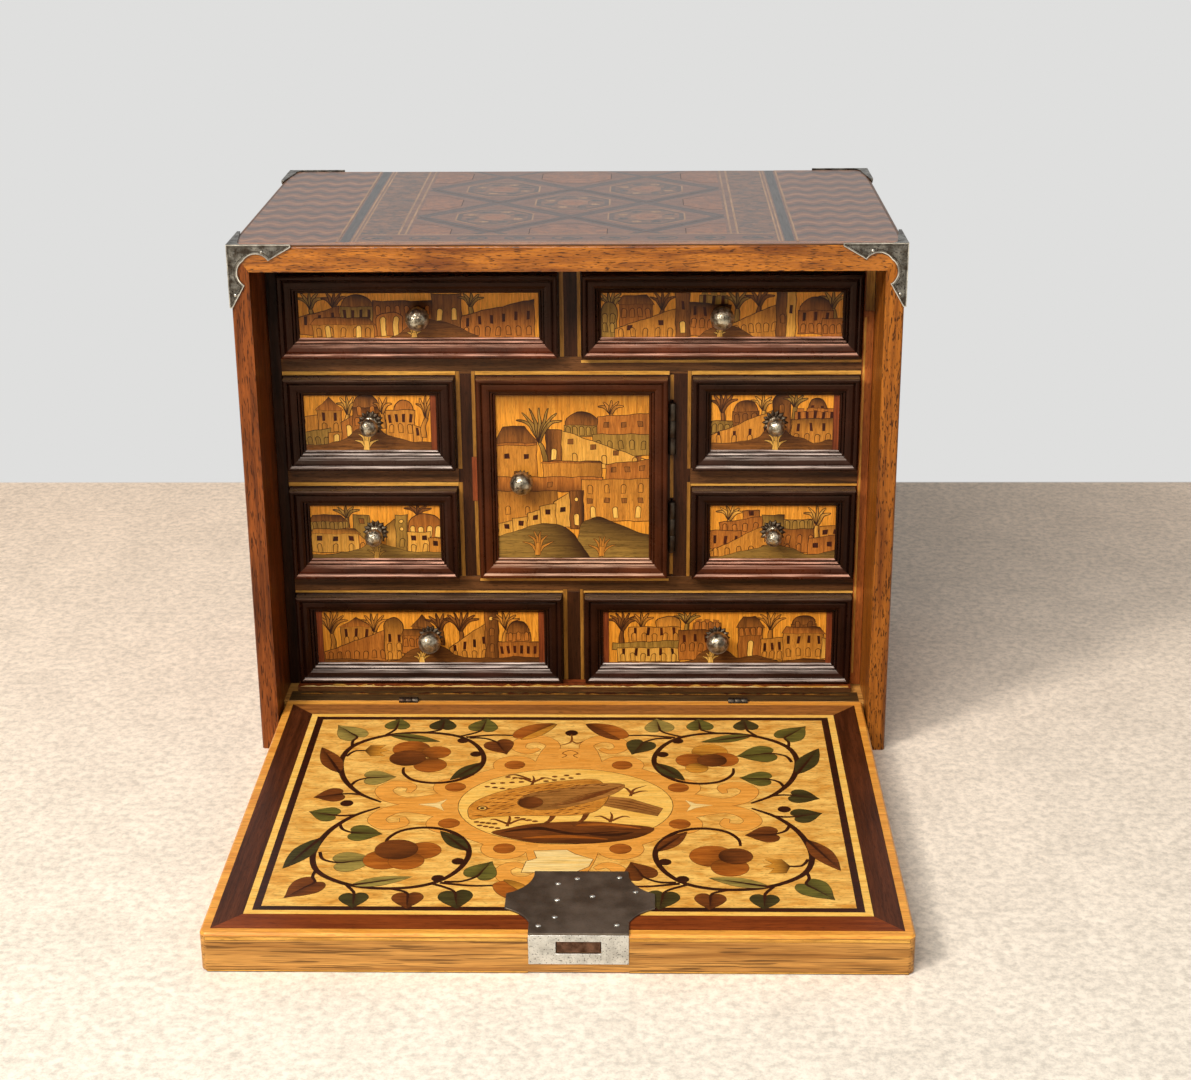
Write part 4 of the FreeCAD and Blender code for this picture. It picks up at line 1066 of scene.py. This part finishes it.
FLECK_ROWS, FLECKS_IN_ROW, FLECK_U, FLECK_V = 9, 14, 5.2, 4.2
for row in range(FLECK_ROWS):
    for i in range(FLECKS_IN_ROW):
        u = -46 + FLECK_U * i + FLECK_U / 2 * (row % 2) + flecks.uniform(-0.8, 0.8)
        v = -9.5 + FLECK_V * row + flecks.uniform(-0.6, 0.6)
        crest = min(0.72 * u + 38, 0.36 * u + 28)
        if v < crest and u > -44 and (u < -28 or v > 0.36 * u + 16 or v < 0.5 * u - 4 and u < 12):
            hatch = [(u - 2.2, v - 0.8), (u, v), (u + 2.4, v + 1.2)]
            plain(field, ribbon(hatch, [0.2, 1.1, 0.2]), "brown leaf")
EYE = (-46, -4)
EYE_RINGS = ((3.2, 3.0, 14, "brown leaf"), (2.2, 2.0, 12, "pale"), (1.3, 1.2, 10, "stem"))
for wide, tall, steps, veneer in EYE_RINGS:
    plain(field, arc(*EYE, wide, tall, steps=steps), veneer)
plain(field, ribbon([(-51, -13), (-47, -12.5), (-43, -14)], [0.3, 0.7, 0.3]), "stem")
field_box = (-border_u, -border_v, border_u, border_v)
inlay("fall_vine_and_bird", field, lying(0, (low.y + high.y) / 2, high.z), field_box, "fall")

# %% The free edge of the fall
EDGE_STRIPS = ((18.2, 20.0), (0.5, 1.3))
STRIP_END_MM, PLATE_GAP_MM, EDGE_END_MM, FALL_T = 3, 0.3, 2, 22
edge_low, edge_high = box_mm("fall_board")
plate_low, plate_high = box_mm("lock_edge_plate")
edge = []
for bottom, ceiling in EDGE_STRIPS:
    for left, right in ((edge_low.x + STRIP_END_MM, plate_low.x - PLATE_GAP_MM),
                        (plate_high.x + PLATE_GAP_MM, edge_high.x - STRIP_END_MM)):
        lay(edge, oblong(left, bottom, right, ceiling), "string", 0.3, 270, 0.2)
edge_box = (edge_low.x + EDGE_END_MM, 0, edge_high.x - EDGE_END_MM, FALL_T)
inlay("fall_edge_strips", edge, upright(0, edge_low.y, 0), edge_box, "fall")

# %% [markdown]
# The top: parquetry in dark woods
#
# The top is veneered in geometric parquetry, sawn straight or in waves: waved stripes at both ends,
# banded borders with burr between them, and in the middle a lattice of dark bands round lozenges. It is
# polished to a mirror, so the pale room lies over it like a veil and its own colours must be deep.

# %% Parquetry
MIRROR = (0.3, 0.05, 0.62)
TOP_GRAIN = ((40, 4), (4, 0.5), 0.4, *MIRROR)
VENEERS |= {
    "top dark": wood("dark walnut parquetry", "#523220", "#371f13", X, *TOP_GRAIN),
    "top mid": wood("brown walnut parquetry", "#77492c", "#57311b", X, *TOP_GRAIN),
    "top light": wood("light walnut parquetry", "#96623b", "#764a29", X, *TOP_GRAIN),
    "top black": wood("bog oak parquetry", "#2b1f17", "#1c140f", Y, (40, 4), (4, 0.5), 0.3, *MIRROR),
    "top string": wood("toned box parquetry string", "#a37746", "#855c34", Y,
                       (40, 3), (4, 0.5), 0.3, *MIRROR),
    "burr": wood("orange walnut burr", "#96592b", "#6b3d1d", X, (6, 5), (1.6, 1.2), 0.6, *MIRROR),
    "mosaic": wood("dark burr mosaic", "#7d4f2c", "#3c2313", X, (7, 5), (2.6, 2.0), 0.7, *MIRROR),
    "lipping": walnut_lipping,
}
TOP_FRONT, TOP_REAR, TOP_SIDE = -105.0, 112.0, 187.4
LIPPING_FRONT = -111.8
TOP_STRIP = -85.0
LATTICE = (45.0, 43.0)
BETWEEN = [(u, v) for u in (-45, 45) for v in (-36, 50)]
LATTICE_MIDDLES = [(u, v) for u in (-90, 0, 90) for v in (7, -79, 93)] + BETWEEN
ROSE_MIDDLES = [(0, 7)] + BETWEEN
RINGS = ((1.0, "top dark"), (0.95, "top black"), (0.925, "top dark"), (0.86, "top light"), (0.84, "top mid"),
         (0.76, "top light"), (0.74, "top mid"))
LOZENGE = [(LATTICE[0], 0), (0, LATTICE[1]), (-LATTICE[0], 0), (0, -LATTICE[1])]
BURR_R, SPOTS_R, SPOT = 24, 15, (3.2, 2.2)
ROSE = ((25, "top string"), (24, "top dark"), (21, "mosaic"), (10, "top light"), (7, "burr"))
BORDER_FROM, BURR_FROM, BURR_TO, WAVES_FROM = 91, 98, 119, 130
WAVE = (21, 15, 3.2)
BORDER_LINES = ((129.3, 130.5, "top string"), (122.8, 128.2, "top black"), (121, 122, "top string"),
                (119, 120, "top string"), (96.5, 97.7, "top string"), (92.6, 93.8, "top string"))
OVALS = ((9, 5.5, "top black"), (7.6, 4.3, "mosaic"), (3.6, 2.2, "top black"))
STRIP_HALF, OVAL_COUNT, OVAL_PITCH = 118, 9, 27


def waves(sheet, u0, u1, pitch, length, swing, veneers):
    """Waved stripes from front to rear, in turn of each veneer."""
    steps = int(abs(u1 - u0) / length * 8)
    stripe = pitch / len(veneers)
    for row in range(-1, int((TOP_REAR - TOP_FRONT) / stripe) + 2):
        path = [(u0 + (u1 - u0) * i / steps, TOP_FRONT + row * stripe) for i in range(steps + 1)]
        path = [(u, v + swing * math.sin(2 * math.pi * u / length)) for u, v in path]
        shape = path + [(u, v + stripe) for u, v in path[::-1]]
        plain(sheet, shape, veneers[row % len(veneers)])


def octagon(u, v, radius):
    """An octagon that stands on a flat side."""
    return arc(u, v, radius, radius, 22.5, 382.5, 8)


top = []
plain(top, oblong(-TOP_SIDE, TOP_FRONT, TOP_SIDE, TOP_REAR), "top mid")
for u, v in LATTICE_MIDDLES:
    for share, veneer in RINGS:
        plain(top, [(u + a * share, v + b * share) for a, b in LOZENGE], veneer)
    if (u, v) not in ROSE_MIDDLES:
        lay(top, octagon(u, v, BURR_R), "burr", 0.5, 90, 0.5)
        continue
    for radius, veneer in ROSE:
        plain(top, octagon(u, v, radius), veneer)
    for turn in range(8):
        angle = math.radians(45 * turn + 22.5)
        spot = arc(u + SPOTS_R * math.cos(angle), v + SPOTS_R * math.sin(angle), *SPOT, steps=8)
        plain(top, spot, "top string" if turn % 2 else "top black")
for way in (1, -1):
    waves(top, WAVES_FROM * way, TOP_SIDE * way, *WAVE, ["top mid", "top light", "top mid", "top dark"])
    plain(top, oblong(BORDER_FROM * way, TOP_FRONT, WAVES_FROM * way, TOP_REAR), "top mid")
    plain(top, oblong(BURR_FROM * way, TOP_FRONT, BURR_TO * way, TOP_REAR), "mosaic")
    for near, far, veneer in BORDER_LINES:
        plain(top, oblong(near * way, TOP_FRONT, far * way, TOP_REAR), veneer)
plain(top, oblong(-STRIP_HALF, TOP_FRONT, STRIP_HALF, TOP_STRIP), "top mid")
for v in (TOP_STRIP, TOP_FRONT + 1.2):
    plain(top, oblong(-STRIP_HALF, v - 0.6, STRIP_HALF, v + 0.6), "top string")
for i in range(OVAL_COUNT):
    u = OVAL_PITCH * (i - OVAL_COUNT // 2)
    for wide, tall, veneer in OVALS:
        plain(top, arc(u, (TOP_STRIP + TOP_FRONT) / 2, wide, tall, steps=16), veneer)
plain(top, oblong(-TOP_SIDE, LIPPING_FRONT, TOP_SIDE, TOP_FRONT), "lipping")
low, high = box_mm("case_top")
top_box = (-TOP_SIDE, LIPPING_FRONT, TOP_SIDE, TOP_REAR)
inlay("top_parquetry", top, lying(0, 0, high.z), top_box, "case")

# %% [markdown]
# Stringing on the nest
#
# Thin lines of boxwood outline each opening on the dark rails and uprights. They are let in flush, with
# lap joints at the corners. Here they are strips placed from the drawers' own boxes. One short piece
# beside the door is an old repair in redder wood, and strings stop where the door's hinges are let in.

# %% Strings round the openings
OPENING_GAP = 1.0
strings = []
SIDES = {"top_left": "r", "top_right": "lb", "upper_left": "tr", "upper_right": "tl", "lower_left": "tr",
         "lower_right": "tl", "bottom_left": "tr", "bottom_right": "tl", "door": "tlb"}
STRING = {"t": 2.3, "b": 1.6, "l": 2.0, "r": 2.4}
FOOT_DROP = 2.0
THIN_STRING = 1.4
THIN_ABOVE = ("lower_right", "bottom_left", "bottom_right")
NEST_FRONT = -66.0
HINGES_START, HINGES_END = (110, 173), (146, 208)
NEST_BOX = (-180, 20, 180, 300)
LINING_STRINGS = (((173.5, 262, 178.6, 286), 0.7, 0.3), ((173.2, 30, 174.4, 258), 0.5, 0.0))
REPAIR_W, REPAIR_Z = 3.0, (144, 172)
HINGE_SIDE_GAP = OPENING_GAP + 0.6
for name, sides in SIDES.items():
    low, high = box_mm("door_moulding" if name == "door" else f"drawer_{name}_moulding")
    left, bottom = low.x - OPENING_GAP, low.z - OPENING_GAP
    right, ceiling = high.x + OPENING_GAP, high.z + OPENING_GAP
    for side in sides:
        thick = THIN_STRING if side == "t" and name in THIN_ABOVE else STRING[side]
        foot = bottom - FOOT_DROP
        strip = {"t": oblong(left, ceiling, right, ceiling + thick),
                 "b": oblong(left, foot - thick, right, foot),
                 "l": oblong(left - thick, bottom, left, ceiling + STRING["t"]),
                 "r": oblong(right, bottom, right + thick, ceiling + STRING["t"])}[side]
        lay(strings, strip, "string" if side in "tb" else "string dull", 0.3, 200, 0.3)
low, high = box_mm("door_moulding")
door_right = high.x + HINGE_SIDE_GAP
for z0, z1 in zip((low.z, *HINGES_END), (*HINGES_START, high.z + OPENING_GAP)):
    lay(strings, oblong(door_right, z0, door_right + STRING["l"], z1), "string dull", 0.2, 90, 0.3)
door_left = low.x - OPENING_GAP
lay(strings, oblong(door_left - REPAIR_W, REPAIR_Z[0], door_left, REPAIR_Z[1]), "red", 0.2, 90, 0.3)
for strip, burn, line in LINING_STRINGS:
    lay(strings, oblong(*strip), "string up", burn, 270, line)
inlay("nest_stringing", strings, upright(0, NEST_FRONT, 0), NEST_BOX, "case")

# %% [markdown]
# The worn sill
#
# Under the drawers the floor board makes a narrow sill. Its front arris has been chipped for centuries,
# so a jagged pale line of bare wood runs along it. Random steps, always the same ones, draw that line.

# %% Sill
chips = random.Random(5)
APRON_FRONT = -91.4
SILL_HALF, APRON_HALF, WEAR_HALF = 172, 176, 171
SILL_DEPTH, SILL_RISE, SILL_LINE = 12, 3.0, (6.5, 7.3)
low, high = box_mm("nest_shelves")
sill_front, sill_z = low.y, low.z + SILL_RISE
sill_box = (-SILL_HALF, sill_front, SILL_HALF, sill_front + SILL_DEPTH)
apron_box = (-APRON_HALF, APRON_FRONT, APRON_HALF, sill_front)
sill = []
lay(sill, oblong(*sill_box), "red", 0.5, 270, 0.0)
plain(sill, oblong(-SILL_HALF, sill_front + SILL_LINE[0], SILL_HALF, sill_front + SILL_LINE[1]), "bog oak")
apron = []
lay(apron, oblong(*apron_box), "grime", 0.6, 90, 0.0)
WEAR = ((sill, sill_front + 0.4, 4.2, "string"), (sill, sill_front + 0.3, 2.2, "patch"),
        (apron, sill_front - 4.6, 3.4, "slot"), (apron, sill_front - 4.2, 1.8, "string dull"))
for sheet, base, tall, veneer in WEAR:
    u = -WEAR_HALF
    worn = [(u, base)]
    while u < WEAR_HALF - 3:
        u += chips.uniform(1.5, 6.0)
        worn.append((min(u, WEAR_HALF), base + tall * chips.choice((0.15, 0.3, 0.6, 1.0))))
    lay(sheet, worn + [(WEAR_HALF, base)], veneer, 0.5, 90, 0.3)
inlay("worn_sill", sill, lying(0, 0, sill_z), sill_box, "case")
low, high = box_mm("case_bottom")
inlay("grimy_apron", apron, lying(0, 0, high.z), apron_box, "case")

# %% [markdown]
# Turned knobs and nails
#
# A knob is a forged ball on a short neck, over a rosette with a scalloped, ridged rim. The CAD knobs have
# flat facets to stay light, so smoother ones stand in for them here: a profile spun round its axis, then
# dented a little as a hammer would. Nail heads are the same kind of turning, only flatter.

# %% Turning
RIM_NOTCH, RIM_START_R = 1.5, 5


def spin(profile, sides, dent=0.0, lobes=0, seed=0.0):
    """A closed surface of revolution. The profile holds radius and height, in mm, from axis to axis."""
    verts = [(0.0, 0.0, profile[0][1])]
    for radius, height in profile[1:-1]:
        for i in range(sides):
            angle = 2 * math.pi * i / sides
            valley = abs(math.sin(angle * lobes / 2)) * (radius > RIM_START_R)
            reach = radius - RIM_NOTCH * valley
            point = Vector((reach * math.cos(angle), reach * math.sin(angle), height * (1 - 0.6 * valley)))
            if dent:
                point += point.normalized() * dent * noise.noise(point * 0.9 + Vector((seed, seed, seed)))
            verts.append(tuple(point))
    verts.append((0.0, 0.0, profile[-1][1]))
    faces = [[0, 1 + (i + 1) % sides, 1 + i] for i in range(sides)]
    for ring in range(len(profile) - 3):
        first = 1 + ring * sides
        for i in range(sides):
            j = (i + 1) % sides
            faces.append([first + i, first + j, first + sides + j, first + sides + i])
    first = 1 + (len(profile) - 3) * sides
    faces += [[first + i, first + (i + 1) % sides, len(verts) - 1] for i in range(sides)]
    return verts, faces


def assemble(name, parts, finish, body):
    """One smooth-shaded object from closed shells, each with its place."""
    verts, faces = [], []
    for (shell, skin), place in parts:
        faces += [[i + len(verts) for i in face] for face in skin]
        verts += [place @ Vector(v) for v in shell]
    piece = new_piece(name, verts, faces, [finish], body)
    piece.data.polygons.foreach_set("use_smooth", [True] * len(faces))
    return piece


# %% Knobs
KNOB_LEN, KNOB_DENT, KNOB_SIDES = 16.0, 0.2, 28
NECK_PROFILE = [(0, 0.2), (4.0, 0.2), (4.0, 1.6), (3.0, 2.2), (2.3, 2.6)]
SMALL_ROSETTE, HIDDEN_ROSETTES = 0.76, ("top_left", "top_right", "door")
LARGE_BALL_R, SMALL_BALL_R = 7.0, 5.4
SCALLOPS = 14
ROSETTE_PROFILE = [(0, 0.0), (7.9, 0.0), (8.0, 0.5), (6.6, 1.3), (5.1, 1.5), (4.2, 0.9), (0, 0.9)]
for i, name in enumerate(DRAWERS + ["door"]):
    node = "door_knob" if name == "door" else f"drawer_{name}_knob"
    low, high = box_mm(node)
    place = upright((low.x + high.x) / 2, low.y + KNOB_LEN, (low.z + high.z) / 2)
    radius = SMALL_BALL_R if name.split("_")[0] in ("upper", "lower") else LARGE_BALL_R
    middle = KNOB_LEN - radius
    turns = [math.radians(a) for a in range(-68, 90, 8)]
    ball = [(radius * math.cos(a), middle + radius * math.sin(a)) for a in turns]
    turned = spin(NECK_PROFILE + ball + [(0, KNOB_LEN)], KNOB_SIDES, KNOB_DENT, seed=3.7 * i)
    share = SMALL_ROSETTE if name in HIDDEN_ROSETTES else 1.0
    petals = spin([(r * share, h) for r, h in ROSETTE_PROFILE], 6 * SCALLOPS, lobes=SCALLOPS)
    body = node.rsplit("_", 1)[0]
    knob = assemble(f"{name}_ball_knob", [(turned, place)], hammered_steel, body)
    assemble(f"{name}_rosette", [(petals, place)], dull_rosette, body)
    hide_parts(node)
print(len(DRAWERS) + 1, "knobs turned")

# %% Nail heads
NAIL_SIDES = 16
NAIL_PROFILE = [(0, -0.2), (1.5, -0.2), (1.5, 0.1), (1.15, 0.5), (0.6, 0.75), (0, 0.85)]
LOCK_NAILS = [(-11.7, 48.8), (-2, 54), (19.8, 55.3), (28.2, 40.7), (6.2, 36.1), (-11.7, 32.4),
              (-12.2, 15.6), (-20.1, 7.1), (18.9, 8.2)]
low, high = box_mm("lock_plate")
middle = (low.x + high.x) / 2
nails = [(spin(NAIL_PROFILE, NAIL_SIDES), lying(middle + u, low.y + v, high.z)) for u, v in LOCK_NAILS]
assemble("lock_plate_nails", nails, nail_steel, "fall")

# %% [markdown]
# Rims of the corner mounts
#
# The mounts were filed bright along their shaped edges and engraved with a line inside them. The outline
# of each flat face is read from the CAD mesh, drawn in a little, and laid on it as a narrow strip of
# bright metal with a dark one. The bright strip is partly the filed edge and partly a painted highlight
# of the light that the edge catches.

# %% Rims
VENEERS |= {"rim": bright_rim_and_highlight, "engraved": hinge_iron}
ALIGNED, SAME_FLAT_MM = 0.99, 0.05
RIM_LINES = ((0.1, 0.7, "rim"), (1.6, 2.0, "engraved"))


def outlines(piece, facing):
    """Closed outlines of the outermost flat faces of a node that look one way, as lists of corners in mm."""
    ahead = {}
    outermost = max(vert.co.dot(facing) for vert in piece.data.vertices)
    for face in piece.data.polygons:
        if face.normal.dot(facing) > ALIGNED and face.center.dot(facing) > outermost - SAME_FLAT_MM * MM:
            spots = [tuple(round(c / MM, 3) for c in piece.data.vertices[i].co) for i in face.vertices]
            for here, there in zip(spots, spots[1:] + spots[:1]):
                if here in ahead.get(there, []):
                    ahead[there].remove(here)
                else:
                    ahead.setdefault(here, []).append(there)
    loops = []
    while any(ahead.values()):
        here = next(spot for spot, after in ahead.items() if after)
        loop = []
        while ahead.get(here):
            loop.append(here)
            here = ahead[here].pop()
        loops.append(loop)
    return loops


mount_low, mount_high = box_mm("corner_mounts")
rims = []
for loop in outlines(nodes["corner_mounts"], Vector((0, -1, 0))):
    flat = [(x, z) for x, y, z in loop]
    for near, far, veneer in RIM_LINES:
        mitred(rims, grow(flat, -near), grow(flat, -far), [veneer] * len(flat))
rim_box = (mount_low.x, mount_low.z, mount_high.x, mount_high.z)
# The bright strips are partly filed edge and partly painted highlight.
inlay("mount_front_rims_and_painted_highlights", rims, upright(0, mount_low.y, 0), rim_box, "case")
MOUNT_NAILS = [(way * x, z) for way in (-1, 1) for x, z in ((171.0, 308.6), (187.2, 284.0))]
SMALL_NAIL = 0.62
small_nail = spin([(r * SMALL_NAIL, h * SMALL_NAIL) for r, h in NAIL_PROFILE], NAIL_SIDES)
nails = [(small_nail, upright(x, mount_low.y, z)) for x, z in MOUNT_NAILS]
assemble("mount_nails", nails, nail_steel, "case")

# %% [markdown]
# Floor and light
#
# The cabinet stands on a pale stone table before a pale grey wall. A flat sheet gives both: it turns from
# warm stone to cool grey along a line behind the case, so that no wall hides the cabinet from the other
# sides. What the eye sees of the wall and the room, straight or in a gloss, is plain pale grey. A soft
# lamp from the upper left, a long strip under the ceiling, a weak fill and a dim sky light the cabinet,
# so a colour renders about as it is written.

# %% Floor
ROOM_GREY = "#dfdfde"


def seen_rays(tree):
    """1 for rays that show the room, straight or in gloss or glass, and 0 for rays that light things."""
    path = add(tree, "LightPath").outputs
    gloss = reckon(tree, "MAXIMUM", path["Is Camera Ray"], path["Is Glossy Ray"])
    return reckon(tree, "MAXIMUM", gloss, path["Is Transmission Ray"])


FLOOR_HALF_M = 6.0
WALL_LINE_M, WALL_BLUR_M = 0.39, 0.003
FAR_STONE, NEAR_STONE, WALL_GREY = "#fbe7d3", "#f8f3e8", "#d6d7da"
corners = [(-1, -1), (1, -1), (1, 1), (-1, 1)]
sheet = bpy.data.meshes.new("floor")
sheet.from_pydata([(x * FLOOR_HALF_M, y * FLOOR_HALF_M, 0.0) for x, y in corners], [], [(0, 1, 2, 3)])
floor = bpy.data.objects.new("floor", sheet)
bpy.context.scene.collection.objects.link(floor)
made, stone_tree, shader = new_material("pale stone table and grey wall")
place = add(stone_tree, "TexCoord").outputs["Object"]
cloud = speckle(stone_tree, place, 45, 6.0, Roughness=0.7)
grit = speckle(stone_tree, place, 5, 4.0, Roughness=0.75)
depth = add(stone_tree, "SeparateXYZ", {0: place}).outputs["Y"]
stone = mix(stone_tree, ramp(stone_tree, depth, 0.3, -0.6), colour(FAR_STONE), colour(NEAR_STONE))
for spots, *levels in ((cloud, 0.36, 0.64, 0.9, 1.03), (grit, 0.36, 0.6, 0.72, 1.04)):
    stone = mix(stone_tree, 1.0, stone, ramp(stone_tree, spots, *levels), blend_type="MULTIPLY")
behind = ramp(stone_tree, depth, WALL_LINE_M, WALL_LINE_M + WALL_BLUR_M)
fill(stone_tree, shader, {"Base Color": mix(stone_tree, behind, stone, colour(WALL_GREY)), "Roughness": 0.6})
plain_wall = add(stone_tree, "Emission", {"Color": colour(ROOM_GREY), "Strength": 1.0}).outputs[0]
shown = reckon(stone_tree, "MULTIPLY", behind, seen_rays(stone_tree))
wall = add(stone_tree, "MixShader", {0: shown, 1: shader.outputs[0], 2: plain_wall}).outputs[0]
fill(stone_tree, stone_tree.nodes["Material Output"], {"Surface": wall})
floor.data.materials.append(made)

# %% Lamps and sky


def lamp(name, at, target, size, watts, hex_value="#ffffff"):
    """A soft lamp of a width and a height that looks at a point. Places and sizes in metres."""
    light = bpy.data.lights.new(name, "AREA")
    light.shape = "RECTANGLE"
    light.size, light.size_y = size
    light.energy = watts
    light.color = colour(hex_value)[:3]
    shown = bpy.data.objects.new(name, light)
    shown.location = at
    shown.rotation_euler = (Vector(target) - Vector(at)).to_track_quat("-Z", "Y").to_euler()
    bpy.context.scene.collection.objects.link(shown)


CABINET_MIDDLE = (0.0, -0.1, 0.14)
SKY_LIGHT = 0.23
FRONT_ROOM = 0.3
lamp("key lamp", (-1.65, -1.75, 2.03), CABINET_MIDDLE, (0.6, 0.6), 68, "#fff6ea")
lamp("ceiling strip", (-0.5, -2.06, 2.04), CABINET_MIDDLE, (1.5, 0.35), 50, "#fff8ee")
lamp("fill lamp", (1.3, -1.3, 1.2), CABINET_MIDDLE, (1.0, 1.0), 2)
sky = bpy.data.worlds.new("pale room")
bpy.context.scene.world = sky
sky.use_nodes = True
sky_tree = sky.node_tree
level = ramp(sky_tree, seen_rays(sky_tree), 0.0, 1.0, SKY_LIGHT, 1.0)
toward = add(sky_tree, "TexCoord").outputs["Generated"]
toward = add(sky_tree, "SeparateXYZ", {0: toward}).outputs["Y"]
dim = ramp(sky_tree, toward, -0.7, 0.1, FRONT_ROOM, 1.0)
gloss = add(sky_tree, "LightPath").outputs["Is Glossy Ray"]
dim = add(sky_tree, "Mix", {0: gloss, 2: 1.0, 3: dim}, data_type="FLOAT").outputs[0]
level = reckon(sky_tree, "MULTIPLY", level, dim)
fill(sky_tree, sky_tree.nodes["Background"], {"Color": colour(ROOM_GREY), "Strength": level})
